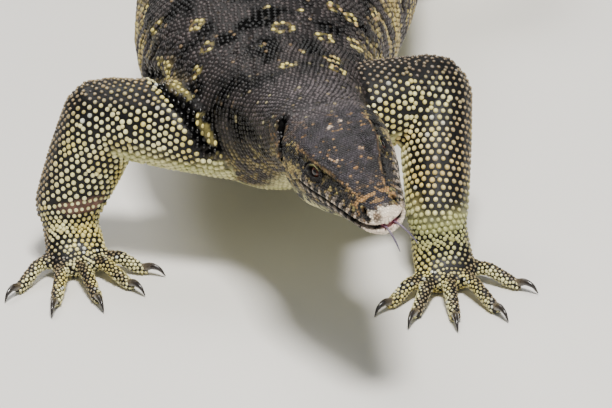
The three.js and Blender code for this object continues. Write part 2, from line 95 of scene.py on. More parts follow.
# Smooth noise between 0 and 1 on a lattice with cells of the given size.
def noise(points, size, seed=0):
    p = np.asarray(points, float) / size + 57.3 * seed
    cell = np.floor(p).astype(np.int64)
    f = p - cell
    f = f * f * (3 - 2 * f)
    total = np.zeros(len(p))
    for corner in np.ndindex(2, 2, 2):
        n = ((cell + corner) * noiseKeys).sum(1)
        n = (n + seed * 97531) & 0xFFFFFFFF
        n = ((n ^ (n >> 13)) * 1274126177) & 0xFFFFFFFF
        value = ((n ^ (n >> 16)) & 0xFFFF) / 65535.0
        share = np.where(corner, f, 1 - f)
        total += value * (share[:, 0] * share[:, 1]) * share[:, 2]
    return total


# Points of a smooth curve through rows of values, at places t from 0 to the last row.
def curveAt(rows, t):
    rows = np.asarray(rows, float)
    padded = np.vstack([2 * rows[0] - rows[1], rows, 2 * rows[-1] - rows[-2]])
    i = np.clip(np.floor(t).astype(int), 0, len(rows) - 2)
    u = (np.asarray(t, float) - i)[:, None]
    a, b, c, d = padded[i], padded[i + 1], padded[i + 2], padded[i + 3]
    return 0.5 * (2 * b + (c - a) * u + (2 * a - 5 * b + 4 * c - d) * u**2 + (3 * b - a - 3 * c + d) * u**3)


# Length of a line of points up to each of them.
def lengthAlong(line):
    return np.concatenate([[0], np.cumsum(np.linalg.norm(np.diff(line, axis=0), axis=1))])


# For each point, which point of the line is nearest.
def nearestOn(line, points):
    return ((points**2).sum(1)[:, None] - 2 * points @ line.T + (line**2).sum(1)[None]).argmin(1)


# The head's own sizes: the snout points along -Y and the middle of the nape is the origin.
headShape = {
    "size": 0.93,
    "length": 112,
    "yaw": 16,
    "pitch": 3.5,
    "roll": 12,
    "nape": (17, -84, 118),
    "mouthCorner": 70,
    "mouthDrop": 6,  # of the mouth's line from the nape to the snout
    "mouthGap": (0.6, 2.1, 34),  # at the corner, more at the snout, and how far back
    "eyeRadius": 5.6,
    "eyeDepth": 0.3,
    "behind": [0, 2.2, 7, 15, 28, 43, 57, 72, 87, 100, 112],
    "side": [3.4, 7.6, 11.3, 14.3, 18, 22, 26, 28.8, 30.8, 29.8, 27.4],
    "up": [2.4, 6, 9, 11, 12.6, 14.6, 16.6, 17, 16, 14.6, 14],
    "down": [4.4, 7, 9, 11, 13.6, 18, 24, 31.2, 36, 34.6, 29],
    "power": [2, 2.1, 2.2, 2.4, 2.7, 3, 3.2, 2.9, 2.7, 2.5, 2.2],
    "taper": [0.05, 0.08, 0.12, 0.16, 0.2, 0.2, 0.18, 0.17, 0.16, 0.1, 0.04],
}
headLength = headShape["length"]
# behind the snout, length, height angle, spread, share of the half size
headForms = {
    "brow": (55, 11, 52, 11, 0.11),
    "eyeHollow": (57, 8, 20, 9, -0.02),
    "canthus": (33, 13, 48, 12, 0.04),
    "snoutSide": (38, 13, 24, 11, -0.05),
    "nostril": (12, 5, 42, 16, 0.07),
    "temple": (82, 13, 30, 18, 0.04),
    "crown": (70, 26, 90, 14, -0.04),
    "jawMuscle": (90, 13, -30, 25, 0.06),
}


def turned(axis, degrees):
    return np.array(Matrix.Rotation(math.radians(degrees), 3, axis))


headTurn = turned("Z", headShape["yaw"]) @ turned("X", headShape["pitch"]) @ turned("Y", -headShape["roll"])


def fromHead(points):
    flat = np.reshape(points, (-1, 3)) @ (headTurn * headShape["size"]).T + headShape["nape"]
    return flat.reshape(np.shape(points))


def intoHead(points):
    return (points - headShape["nape"]) @ headTurn / headShape["size"]


def mouthLineAt(behind):
    drop = headShape["mouthDrop"]
    return -drop + drop * np.sin((math.pi / 2) * (behind / headLength))


def halfGapAt(behind):
    least, more, reach = headShape["mouthGap"]
    return (least + more * np.maximum(0, 1 - np.maximum(behind, 0) / reach)) * 0.5


# For points in the head's frame: how far behind the snout, how high over the mouth's line, and at what angle.
def headPlace(p):
    behind = p[:, 1] + headLength
    over = p[:, 2] - mouthLineAt(behind)
    return behind, over, np.degrees(np.arctan2(over, np.abs(p[:, 0])))


def nearHead(p, reach):
    return (p[:, 1] + headLength < reach) & (np.abs(p[:, 0]) < 38) & (np.abs(p[:, 2] + 6) < 44)


def sectionValue(behind, key):
    at = np.array(headShape["behind"], float)
    value = np.array(headShape[key], float)
    last = len(at) - 1
    i = np.clip(np.searchsorted(at, behind, side="right") - 1, 0, last - 1)
    before, after = np.maximum(i - 1, 0), np.minimum(i + 2, last)
    span = at[i + 1] - at[i]
    u = (behind - at[i]) / span
    m0 = (value[i + 1] - value[before]) / (at[i + 1] - at[before]) * span
    m1 = (value[after] - value[i]) / (at[after] - at[i]) * span
    u2, u3 = u * u, u * u * u
    return (2 * u3 - 3 * u2 + 1) * value[i] + (u3 - 2 * u2 + u) * m0 + (3 * u2 - 2 * u3) * value[i + 1] + (u3 - u2) * m1


# A point of the head's surface: angle 0 is the animal's left lip and a quarter turn the crown.
def headPoint(behind, angle):
    behind, angle = np.broadcast_arrays(np.asarray(behind, float), np.asarray(angle, float))
    half = [sectionValue(behind, key) for key in ("side", "up", "down")]
    power, taper = sectionValue(behind, "power"), sectionValue(behind, "taper")
    c, s = np.cos(angle), np.sin(angle)
    height = np.degrees(np.arctan2(s, np.abs(c)))
    size = np.ones_like(behind)
    for place, length, level, spread, lift in headForms.values():
        size = size + lift * bell(behind, place, length) * bell(height, level, spread)
    # the lips stand out
    size = size + 0.04 * bell(np.abs(height), 8, 4.5) * smoothStep(headShape["mouthCorner"] + 4 - behind, 0, 12)
    x = half[0] * np.sign(c) * np.abs(c) ** (2 / power)
    z = np.where(s > 0, half[1], half[2]) * np.sign(s) * np.abs(s) ** (2 / power)
    narrowed = 1 - np.where(z > 0, taper * z / half[1], -0.1 * z / half[2])
    return np.stack([x * size * narrowed, behind - headLength, z * size + mouthLineAt(behind)], -1)


def headNormal(behind, angle):
    along = headPoint(behind + 0.5, angle) - headPoint(behind - 0.5, angle)
    around = headPoint(behind, angle + 0.02) - headPoint(behind, angle - 0.02)
    return unit(np.cross(along, around))


# Spots of the head: behind the snout, height angle, half length and half height, tilt in degrees.
headSpots = {
    "eye": {"behind": 57, "angle": 27, "half": (4.7, 3.1), "tilt": -6},
    "nostril": {"behind": 10, "angle": 43, "half": (2.1, 1.3), "tilt": 30},
    "ear": {"behind": 97, "angle": 14, "half": (2.9, 5.2), "tilt": 8},
}
spotDepth = 9  # a spot only counts for points this near to its middle, into the head


# Where a spot is, with the directions towards the snout, up over the skin and out of it.
def spotFrame(name, side):
    spot = headSpots[name]
    turn = math.radians(spot["angle"]) if side > 0 else math.pi - math.radians(spot["angle"])
    point = headPoint(float(spot["behind"]), turn)
    normal = headNormal(float(spot["behind"]), turn)
    forward = unit(snoutward - normal * (snoutward @ normal))
    up = np.cross(forward, normal) * (-1 if side > 0 else 1)
    tilt = math.radians(spot["tilt"])
    return point, forward * math.cos(tilt) + up * math.sin(tilt), up * math.cos(tilt) - forward * math.sin(tilt), normal


# Distance from a spot in its own half sizes, for points in the head's frame, then its share along and up.
def fromSpot(points, name, side):
    point, along, up, normal = spotFrame(name, side)
    away = points - point
    a, b = away @ along / headSpots[name]["half"][0], away @ up / headSpots[name]["half"][1]
    return np.where(np.abs(away @ normal) < spotDepth, np.hypot(a, b), far), a, b


def fromEitherSpot(points, name):
    return np.minimum(fromSpot(points, name, 1)[0], fromSpot(points, name, -1)[0])


# Lines of the body: where, and half sizes sideways, up and down.
headAxis = headTurn @ snoutward
napePoint = np.array(headShape["nape"], float)
trunkStations = [
    ((*(napePoint + 13 * headAxis),), (23.5, 11.5, 24.5)),
    ((*napePoint,), (25, 13.6, 26.4)),
    ((14, -60, 109), (28.5, 19.5, 29)),
    ((8, -32, 101), (35, 25.5, 35)),
    ((0, 2, 91), (48, 35, 46)),
    ((-7, 44, 85), (61, 43, 52)),
    ((-9, 95, 82), (71, 49, 57)),
    ((-4, 150, 80), (77.5, 51, 59)),
    ((7, 205, 79), (78, 50, 58)),
    ((24, 262, 78), (67, 47, 51)),
    ((40, 328, 76), (50, 42, 42)),
    ((45, 374, 70), (37, 37, 35)),
]
tailShape = {
    "length": 900,
    "reach": -34,
    "turns": 0.84,
    "start": 0.03,
    "steps": 200,
    # share of the length, half sizes, height
    "sizes": [
        (0.045, (28, 32, 28), 61),
        (0.12, (22.5, 28, 24.5), 46),
        (0.2, (18, 24.5, 21), 31),
        (0.29, (14.5, 21.5, 17.5), 20),
        (0.4, (11.5, 18, 14), 13.4),
        (0.53, (8.8, 14.2, 11), 10.4),
        (0.67, (6.4, 10.8, 8.2), 7.6),
        (0.8, (4.5, 7.8, 6), 5.4),
        (0.91, (2.9, 5, 4.1), 3.5),
        (1, (1.2, 2, 1.8), 1.3),
    ],
}


def tailStations():
    steps = tailShape["steps"]
    pace = tailShape["length"] / steps
    line = [np.array(trunkStations[-1][0][:2], float)]
    for i in range(1, steps + 1):
        turn = tau * tailShape["turns"] * (i / steps - tailShape["start"])
        heading = math.radians(tailShape["reach"]) * math.sin(turn)
        line.append(line[-1] + pace * np.array([math.sin(heading), math.cos(heading)]))
    return [((*line[round(share * steps)], height), half) for share, half, height in tailShape["sizes"]]


legShapes = {
    "left_fore": {"side": 1, "joints": [(26, 4, 84), (82, 22, 83), (76, -29, 31)], "heading": 6, "kind": "fore"},
    "right_fore": {"side": -1, "joints": [(-24, -2, 79), (-99, 27, 84), (-124, 28, 31)], "heading": 10, "kind": "fore"},
    "left_hind": {"side": 1, "joints": [(62, 330, 72), (133, 340, 86), (143, 408, 29)], "heading": 55, "kind": "hind"},
    "right_hind": {
        "side": -1, "joints": [(18, 330, 72), (-44, 372, 84), (-70, 444, 29)], "heading": -65, "kind": "hind",
    },
}
# Digits are given by their spread from straight ahead and their reach.
legSizes = {
    "fore": {
        "names": ("upper_arm", "forearm", "hand"),
        "palm": {"length": 27, "wrist": 15.4, "wide": 16.5, "thick": 7.6},
        "digitRadius": 4.2,
        "digits": [(52, 25), (27, 35), (4, 41), (-19, 40), (-46, 31)],
    },
    "hind": {
        "names": ("thigh", "shin", "foot"),
        "palm": {"length": 40, "wrist": 15.2, "wide": 17, "thick": 8},
        "digitRadius": 4.5,
        "digits": [(40, 29), (20, 42), (2, 55), (-15, 66), (-48, 42)],
    },
}
clawShape = {
    "length": 12,
    # share of the length, height as radii of the digit and millimetres, half sizes
    "stations": [
        (-0.12, 1, -0.3, (2.0, 2.2, 2.0)),
        (0.1, 1, 0.6, (2.05, 2.3, 2.1)),
        (0.42, 1, 1.6, (1.6, 2.0, 1.8)),
        (0.8, 1, 0.3, (1.0, 1.2, 1.1)),
        (1.04, 0, 1.2, (0.3, 0.35, 0.35)),
    ],
    "rings": 18,
    "sides": 14,
    "lowest": 0.05,  # height over the floor
    "rootColour": (0.12, 0.095, 0.065),
    "tipColour": (0.018, 0.014, 0.012),
}
# share of the reach, height as radii and millimetres, half sizes as radii
digitStations = [
    (0, 0, 7.4, (1.1, 1.05, 1.3)),
    (0.42, 0, 8.6, (1.02, 1, 1.1)),
    (0.75, 0, 5, (0.98, 0.95, 1.05)),
    (1, 1, -1.1, (0.86, 0.8, 0.9)),
]


# Lines of a foot's palm, digits and claws, each as points with half sizes.
def footLines(leg):
    sizes = legSizes[leg["kind"]]
    palm, r, side = sizes["palm"], sizes["digitRadius"], leg["side"]
    wrist = np.array(leg["joints"][2], float)
    aim = math.radians(leg["heading"])
    forward = np.array([math.sin(aim), -math.cos(aim), 0])
    across = np.array([math.cos(aim), math.sin(aim), 0]) * -side

    def floorPoint(reach, sideways, height):
        p = wrist + forward * reach + across * sideways
        return (p[0], p[1], height)

    def stations(root, out, length, rows, radius):
        made = []
        for share, radii, height, half in rows:
            p = root + out * length * share
            made.append(((p[0], p[1], radii * r + height), tuple(h * radius for h in half)))
        return made

    length, wide, thick, w = (palm[key] for key in ("length", "wide", "thick", "wrist"))
    palmLine = [
        ((wrist[0], wrist[1], wrist[2] + 2), (w, w, w)),
        (floorPoint(length * 0.26, 0, 18), (w + 0.6, w - 0.6, w)),
        (floorPoint(length * 0.62, 0, 10.6), (wide, thick + 1, thick + 2.6)),
        (floorPoint(length, 0, 6.6), (wide - 1, thick - 1.2, thick)),
    ]
    digits, claws = [], []
    for i, (spread, reach) in enumerate(sizes["digits"]):
        out = turned("Z", spread * -side) @ forward
        root = np.array(floorPoint(length * (0.5 if i == 4 else 0.8), (2 - i) * wide * 0.42, 8))
        digits.append(stations(root, out, reach, digitStations, r))
        claws.append(stations(root + out * reach, out, clawShape["length"], clawShape["stations"], 1))
    return palmLine, digits, claws


# Folds and edges that show in the photo, each through a few points of the skin.
bodyLines = {
    "armFold": [
        (-74, 72, 86), (-68, 45, 96), (-66, 15, 104), (-60, 0, 101), (-55, -8, 97), (-51, -15, 90), (-45, -20, 79),
    ],
    "jawSlit": [
        (-2.5, -88, 125), (-3.8, -96, 120), (-4.3, -102, 117), (-4.7, -108, 114), (-5.6, -107, 107), (-5, -100, 99),
    ],
    "napeFold": [
        (-2, -90, 125), (7, -90, 128), (17, -94.6, 130), (27.5, -101.6, 131.6), (38, -106.5, 131.7), (47, -111, 129),
    ],
}
bareWrist = {"at": (-115, 10, 38.5), "half": (14, 9, 4.6)}


# Distance from a fold's line, and the nearest point of the line.
def fromLine(points, name):
    corners = bodyLines[name]
    line = curveAt(corners, np.linspace(0, len(corners) - 1, 20 * len(corners)))
    nearest = line[nearestOn(line, points)]
    return np.linalg.norm(points - nearest, axis=1), nearest


# The frame's origin, found from where the left eye's solid stands.
eyeSides = {"eye_left": 1, "eye_right": -1}
eyeCentres = {}
for name, side in eyeSides.items():
    point, _, _, normal = spotFrame("eye", side)
    eyeCentres[name] = point - normal * (headShape["eyeDepth"] + headShape["eyeRadius"])
low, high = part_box("eye_left")
origin = fromHead(eyeCentres["eye_left"]) - np.array((low + high) / 2) * 1000
origin[2] = 0
print("shoulders stand at", np.round(-origin, 2))


def toFrame(points):
    return (np.asarray(points) - origin) / 1000


def fromFrame(points):
    return np.asarray(points) * 1000 + origin


def vectorsOf(rows, key):
    co = np.empty(len(rows) * 3)
    rows.foreach_get(key, co)
    return co.reshape(-1, 3)


def moveVertices(mesh, co):
    mesh.vertices.foreach_set("co", co.astype(np.float32).ravel())
    mesh.update()


# A mesh from points in metres and faces that all have the same number of corners, or a list of such arrays.
def meshFrom(name, points, faceSets):
    mesh = bpy.data.meshes.new(name)
    mesh.vertices.add(len(points))
    mesh.vertices.foreach_set("co", np.ascontiguousarray(points, np.float32).ravel())
    corners = np.concatenate([f.ravel() for f in faceSets]).astype(np.int32)
    counts = np.concatenate([np.full(len(f), f.shape[1], np.int32) for f in faceSets])
    mesh.loops.add(len(corners))
    mesh.loops.foreach_set("vertex_index", corners)
    mesh.polygons.add(len(counts))
    mesh.polygons.foreach_set("loop_start", np.concatenate([[0], np.cumsum(counts)[:-1]]).astype(np.int32))
    mesh.update(calc_edges=True)
    mesh.shade_smooth()
    return mesh


def paint(mesh, colours):
    layer = mesh.attributes.new("marking", "FLOAT_COLOR", "POINT")
    rgba = np.ones((len(colours), 4), np.float32)
    rgba[:, :3] = np.clip(colours, 0, 1)
    layer.data.foreach_set("color", rgba.ravel())


def putInScene(name, data):
    thing = bpy.data.objects.new(name, data)
    bpy.context.scene.collection.objects.link(thing)
    return thing


def addPiece(name, mesh, material, replaced=()):
    piece = putInScene(name, mesh)
    mesh.materials.clear()
    mesh.materials.append(material)
    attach(piece, "root")
    if replaced:
        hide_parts(*replaced)


# Rings of points round a line.
def sweep(stations, count, sides, power=2.0):
    t = np.linspace(0, 1, count) * (len(stations) - 1)
    line = curveAt([s[0] for s in stations], t)
    half = np.maximum(curveAt([s[1] for s in stations], t), 0.02)
    forward = unit(np.gradient(line, axis=0))
    side = unit(np.cross(forward, upward))
    up = np.cross(side, forward)
    angle = np.arange(sides) / sides * tau
    c, s = np.cos(angle), np.sin(angle)
    x = np.sign(c) * np.abs(c) ** (2 / power) * half[:, :1]
    z = np.sign(s) * np.abs(s) ** (2 / power) * np.where(s > 0, half[:, 1:2], half[:, 2:3])
    return line[:, None] + x[..., None] * side[:, None] + z[..., None] * up[:, None]


# Closed tube from rings, with a point at each end.
def tubeMesh(rings, bulge=(0.0, 0.0)):
    count, sides = rings.shape[:2]
    k = np.arange(sides)
    n = (k + 1) % sides
    quads = np.vstack([np.stack([k, n, n + sides, k + sides], 1) + r * sides for r in range(count - 1)])
    first, last = count * sides, count * sides + 1
    ends = rings[[0, -1]].mean(1)
    ends[0] += (rings[0].mean(0) - rings[1].mean(0)) * bulge[0]
    ends[1] += (rings[-1].mean(0) - rings[-2].mean(0)) * bulge[1]
    front = np.stack([n, k, np.full(sides, first)], 1)
    back = np.stack([first - sides + k, first - sides + n, np.full(sides, last)], 1)
    fans = np.vstack([front, back])
    points = np.vstack([rings.reshape(-1, 3), ends])
    # faces look outwards
    a, b, c, d = (points[quads[:, i]] for i in range(4))
    volume = np.einsum("ij,ij->i", a, np.cross(b, c)).sum() + np.einsum("ij,ij->i", a, np.cross(c, d)).sum()
    if volume < 0:
        quads, fans = quads[:, ::-1], fans[:, ::-1]
    return points, quads, fans


# The skin is the solids' flesh joined in one surface.
skinShape = {
    "voxel": 1.8,
    "depth": 0.45,  # of the skin under the solids, where the coat lies
    "lowest": 0.12,  # height of the soles' skin over the floor
    "smoothing": 14,
    "fineReach": (112, 104),  # how far back the head's faces are halved, once for each
    "headPull": 4,  # the head's skin is laid on its own form from as far as this
}
fleshNodes = [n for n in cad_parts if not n.startswith(("claw_", "eye_", "tongue"))]


def headShell():
    sides = 120
    stops = np.concatenate([[0.0, 0.4, 0.9, 1.5], np.arange(2.2, 14.5, 1.0), np.arange(15, 112, 1.6), [112]])
    even = np.arange(sides) / sides * tau
    angles = even - 0.36 * np.sin(2 * even)
    return headPoint(stops[:, None], angles[None, :])


def joinedFlesh():
    points, polygons, owners = [], [], []
    total = 0
    for name in fleshNodes:
        if name in ("head", "lower_jaw"):
            continue
        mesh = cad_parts[name].data
        points.append(vectorsOf(mesh.vertices, "co"))
        polygons += [[v + total for v in p.vertices] for p in mesh.polygons]
        owners += [name] * len(mesh.polygons)
        total += len(mesh.vertices)
    shell, quads, fans = tubeMesh(fromHead(headShell()))
    points.append(toFrame(shell))
    for faces in (quads, fans):
        polygons += (faces + total).tolist()
        owners += ["head"] * len(faces)
    return np.vstack(points), polygons, owners


def remeshed(points, polygons, voxel):
    mesh = bpy.data.meshes.new("flesh")
    mesh.from_pydata(points.tolist(), [], polygons)
    thing = putInScene("flesh", mesh)
    remesh = thing.modifiers.new("remesh", "REMESH")
    remesh.mode = "VOXEL"
    remesh.voxel_size = voxel / 1000
    bpy.context.view_layer.update()
    made = bpy.data.meshes.new_from_object(thing.evaluated_get(bpy.context.evaluated_depsgraph_get()))
    bpy.data.objects.remove(thing)
    bpy.data.meshes.remove(mesh)
    return made


# Each round pulls points towards their neighbours and then pushes them back a little more.
def smooth(mesh, rounds, pull=0.5, push=-0.52):
    co = vectorsOf(mesh.vertices, "co")
    edges = np.empty(len(mesh.edges) * 2, np.int32)
    mesh.edges.foreach_get("vertices", edges)
    edges = edges.reshape(-1, 2)
    a = np.concatenate([edges[:, 0], edges[:, 1]])
    b = np.concatenate([edges[:, 1], edges[:, 0]])
    count = np.maximum(np.bincount(a, minlength=len(co)), 1)
    for i in range(rounds * 2):
        mean = np.stack([np.bincount(a, co[b, k], len(co)) for k in range(3)], 1) / count[:, None]
        co += (mean - co) * (pull if i % 2 == 0 else push)
    moveVertices(mesh, co)


flesh, fleshFaces, fleshOwners = joinedFlesh()
fleshTree = BVHTree.FromPolygons(flesh.tolist(), fleshFaces)
skinMesh = remeshed(flesh, fleshFaces, skinShape["voxel"])
smooth(skinMesh, skinShape["smoothing"])
print("skin remeshed:", len(skinMesh.polygons), "faces")


# The head's faces are halved until its folds and lids can be drawn.
def refineHead(mesh):
    net = bmesh.new()
    net.from_mesh(mesh)
    for level, reach in enumerate(skinShape["fineReach"]):
        co = intoHead(fromFrame(np.array([v.co for v in net.verts])))
        behind, over, _ = headPlace(co)
        near = nearHead(co, reach)
        if level:
            lips = (np.abs(over) < 6) & (behind < 76)
            near &= lips | (fromEitherSpot(co, "eye") < 3) | (fromEitherSpot(co, "ear") < 2) | (behind < 22)
        chosen = [e for e in net.edges if near[e.verts[0].index] and near[e.verts[1].index]]
        bmesh.ops.subdivide_edges(net, edges=chosen, cuts=1, use_grid_fill=True)
        net.verts.index_update()
        net.faces.index_update()
    net.to_mesh(mesh)
    net.free()
    mesh.update()


refineHead(skinMesh)
shellPoints, shellQuads, shellFans = tubeMesh(headShell())
shellTree = BVHTree.FromPolygons(shellPoints.tolist(), shellQuads.tolist() + shellFans.tolist())
skinAt = fromFrame(vectorsOf(skinMesh.vertices, "co"))
inHead = intoHead(skinAt)
behindHere = inHead[:, 1] + headLength
onHead = nearHead(inHead, 110)
for i in np.flatnonzero(onHead):
    spot, _, _, distance = shellTree.find_nearest(inHead[i])
    if distance < skinShape["headPull"]:
        inHead[i] += (np.array(spot) - inHead[i]) * (1 - float(smoothStep(behindHere[i], 98, 110)))
skinAt[onHead] = fromHead(inHead[onHead])
moveVertices(skinMesh, toFrame(skinAt))
print("head refined:", len(skinMesh.polygons), "faces")

# Which length of the body each point of the skin belongs to, and its place along and round the spine.
spineStations = trunkStations + tailStations()
spineLine = curveAt([s[0] for s in spineStations], np.linspace(0, len(spineStations) - 1, 900))
spineForward = unit(np.gradient(spineLine, axis=0))
spineSide = unit(np.cross(spineForward, upward))  # towards the animal's right
spineUp = np.cross(spineSide, spineForward)
spineLength = lengthAlong(spineLine)
partNames = sorted(set(fleshOwners))
partIndex = {name: i for i, name in enumerate(partNames)}
spineParts = [n for n in partNames if n.startswith(("neck", "shoulders", "trunk", "hips", "tail"))]
ownerIndex = np.array([partIndex[name] for name in fleshOwners])


def belongsTo(owner, names):
    return np.isin(owner, [partIndex[n] for n in names])


# Distance along the spine from the nape's front, and the turn from the top, positive on the animal's right.
def onSpine(points, block=20000):
    best = np.zeros(len(points), int)
    for start in range(0, len(points), block):
        best[start : start + block] = nearestOn(spineLine, points[start : start + block])
    away = points - spineLine[best]
    turn = np.degrees(np.arctan2(-(away * spineSide[best]).sum(1), (away * spineUp[best]).sum(1)))
    return spineLength[best], turn


skinOwner = np.array([ownerIndex[fleshTree.find_nearest(p)[2]] for p in toFrame(skinAt)])
isSpine = belongsTo(skinOwner, spineParts)
print("skin divided into", len(partNames), "lengths")

# Folds: how far the skin moves in or out.
foldShape = {
    "lidRise": 1.0,
    "socket": 3.4,
    "browShelf": 1.7,
    "mouthDepth": 2.6,
    "armFold": 2.8,
    "jawSlit": 1.5,
    "napeFold": 0.8,
    "neckFold": 1.3,
    "backFold": 0.7,
    "flankFold": 1.5,
    "jointCrease": 0.8,
}
lineWidths = {"armFold": 3.4, "jawSlit": 2.2, "napeFold": 2.0}
# rise, place and width of the rim, depth and edge of the hole
holeShape = {"nostril": (0.5, 1.5, 0.45, 2.4, 0.6), "ear": (0.6, 1.35, 0.3, 2.6, 0.62)}


# Narrow grooves, one every pitch, 0 to 1.
def grooves(x, pitch, width):
    offset = np.abs((x / pitch + 0.5) % 1 - 0.5) * pitch
    return np.exp(-((offset / width) ** 2))


# Height angle of the brow's sharp edge.
def browEdge(behind):
    return 30 + 0.32 * (80 - behind)


def headFolds(p):
    behind, over, height = headPlace(p)
    level, gap = np.abs(over), halfGapAt(behind)
    move = np.zeros(len(p))
    mouth = smoothStep(headShape["mouthCorner"] + 3 - behind, 0, 5)
    move -= foldShape["mouthDepth"] * mouth * fade(level, gap - 0.25, gap + 0.55) * (0.45 + 0.55 * bell(behind, 0, 30))
    move += 0.35 * mouth * bell(level, gap + 1.4, 1.1)
    # the mouth's corner runs on in a fold down the jaw
    corner = np.abs(over + (behind - headShape["mouthCorner"]) * 0.55)
    move -= 0.7 * np.exp(-((corner / 0.8) ** 2)) * smoothStep(behind, 66, 71) * fade(behind, 80, 90)
    for side in (1, -1):
        own = np.sign(p[:, 0]) == side
        away, a, b = fromSpot(p, "eye", side)
        upper = smoothStep(b, -0.2, 0.6)
        r = np.where(away > 50, far, np.hypot(a, b * (1 + 0.32 * upper)))
        lid = bell(r, 1.28, 0.22) * (foldShape["lidRise"] + 0.35 * upper) - 0.6 * bell(r, 1.85 + 0.25 * upper, 0.2)
        move += np.where(own, lid - foldShape["socket"] * fade(r, 0.86, 1.12), 0)
        # folds behind and under the eye
        move -= np.where(own & (a < 0), 0.35 * bell(r, 2.5, 0.16) * bell(b, -0.6, 1.6), 0)
        for name, (rise, rim, width, depth, edge) in holeShape.items():
            r = fromSpot(p, name, side)[0]
            move += np.where(own, rise * bell(r, rim, width) - depth * fade(r, edge, 1.1), 0)
    # brow: a shelf with a sharp lower edge over the eye, running on towards the nostril
    overEdge = height - browEdge(behind)
    length = smoothStep(behind, 18, 40) * fade(behind, 74, 90)
    shelf = length * smoothStep(overEdge, -1.5, 2.5) * fade(overEdge, 6, 24)
    move += foldShape["browShelf"] * shelf * (0.6 + 0.4 * bell(behind, 58, 20))
    move -= 0.9 * length * bell(overEdge, -5, 3.2) * smoothStep(fromEitherSpot(p, "eye"), 1.3, 2.0)
    # the lower lip stands out a little at the front
    move += 0.8 * fade(behind, 6, 20) * bell(over, -3.4, 2.2)
    # shallow furrows along the crown
    move -= 0.5 * bell(np.abs(p[:, 0]), 9, 2.2) * bell(behind, 62, 14) * (over > 4)
    # loose throat
    lumps = noise(p, 9, 3) - 0.5
    move -= 0.6 * grooves(p[:, 0] + 3 * lumps, 6.5, 1.0) * bell(behind, 78, 26) * smoothStep(-height, 48, 66)
    return move


def bodyFolds(p, along, turn):
    wobble = noise(p, 16, 5) - 0.5
    depth = 0.4 + noise(p, 14, 7)
    around = np.abs(turn)
    move = np.zeros(len(p))
    # folds across the bent side of the neck, and fewer on the other
    neck = smoothStep(along, 12, 22) * fade(along, 78, 104)
    right = bell(turn, -72, 38)
    move -= foldShape["neckFold"] * neck * right * depth * grooves(along + 9 * wobble + 0.05 * turn, 8.5, 1.35)
    left = bell(turn, 80, 30)
    move -= 0.55 * neck * left * depth * grooves(along + 7 * wobble, 11, 1.2)
    # lengthwise folds between the shoulders
    back = smoothStep(along, 34, 52) * fade(along, 128, 160) * fade(around, 30, 55)
    move -= foldShape["backFold"] * back * depth * grooves(p[:, 0] + 7 * wobble, 8.5, 1.2)
    # a fold across the throat
    move -= 1.6 * (bell(along, 62 + 3 * wobble, 3.2) * smoothStep(around, 95, 125))
    # folds down the flanks
    flank = smoothStep(along, 118, 150) * fade(along, 400, 440) * bell(around, 84, 27)
    move -= foldShape["flankFold"] * flank * depth * grooves(along + 16 * wobble + 0.07 * around, 13.5, 1.9)
    move += 0.5 * flank * (noise(p, 10, 9) - 0.5)
    return move


def limbFolds(p):
    move = np.zeros(len(p))
    wobble = noise(p, 8, 11) - 0.5
    for leg in legShapes.values():
        root, bend, end = (np.array(j, float) for j in leg["joints"])
        for joint, before, after in ((bend, root, end), (end, bend, end + (0, 0, -30))):
            away = p - joint
            x = away @ unit(after - before)
            near = bell(np.linalg.norm(away, axis=1), 0, 34) * bell(x, 0, 9)
            inner = unit(unit(before - joint) + unit(after - joint))
            crook = smoothStep(unit(away) @ inner, -0.35, 0.5)
            move -= foldShape["jointCrease"] * near * crook * grooves(x + 3 * wobble, 4.6, 0.9)
    return move


def lineFolds(p):
    move = np.zeros(len(p))
    for name, width in lineWidths.items():
        distance, _ = fromLine(p, name)
        move -= foldShape[name] * bell(distance, 0, width)
        move += 0.22 * foldShape[name] * bell(distance, 2.2 * width, 0.9 * width)
    return move


normals = vectorsOf(skinMesh.vertex_normals, "vector")
move = np.full(len(skinAt), -skinShape["depth"])
onHead = belongsTo(skinOwner, ["head"])
blendHead = fade(behindHere, 100, 111)
headMove = headFolds(intoHead(skinAt[onHead])) * headShape["size"]
move[onHead] += headMove * blendHead[onHead]
along, turn = onSpine(skinAt)
move += np.where(isSpine | onHead, bodyFolds(skinAt, along, turn), 0) * np.where(onHead, 1 - blendHead, 1)
move += np.where(isSpine | onHead, 0, limbFolds(skinAt)) + lineFolds(skinAt)
skinAt = skinAt + normals * move[:, None]
skinAt[:, 2] = np.maximum(skinAt[:, 2], skinShape["lowest"])
moveVertices(skinMesh, toFrame(skinAt))
print("folds drawn")

coatColours = {
    "black": (0.0055, 0.005, 0.005),
    "brown": (0.044, 0.034, 0.033),
    "slate": (0.033, 0.027, 0.033),
    "sheenGrey": (0.115, 0.095, 0.100),
    "yellow": (0.62, 0.52, 0.16),
    "cream": (0.76, 0.71, 0.36),
    "paleGreen": (0.50, 0.50, 0.20),
    "moss": (0.20, 0.22, 0.07),
    "tan": (0.31, 0.20, 0.09),
    "orange": (0.36, 0.19, 0.065),
    "pink": (0.21, 0.10, 0.08),
    "gum": (0.44, 0.12, 0.17),
    "lip": (0.74, 0.60, 0.47),
    "snow": (0.86, 0.77, 0.62),
    "reflectionBlueWhite": (0.56, 0.62, 0.66),
}
# in the dictionary's order
black, brown, slate, sheenGrey, yellow, cream, paleGreen, moss, tan, orange, pink, gum, lipPale, snow, reflectionBlueWhite = (
    np.array(value) for value in coatColours.values()
)

# Rings and spots of yellow scales that show in the photo: along the spine, turn from the top, radius.
ringSpots = [
    (116, -41, 4.2), (73, -50, 4.0), (87, -47, 4.2), (127, -11, 5.0), (127, -64, 4.2), (162, -48, 3.4),
    (158, -59, 3.6), (158, 45, 3.8), (132, 47, 3.4), (186, 66, 4.0), (154, -2, 1.4), (109, 13, 1.6),
    (122, 62, 2.6), (149, -26, 1.3), (75, 5, 2.4), (187, -72, 2.8), (92, -20, 1.2),
]
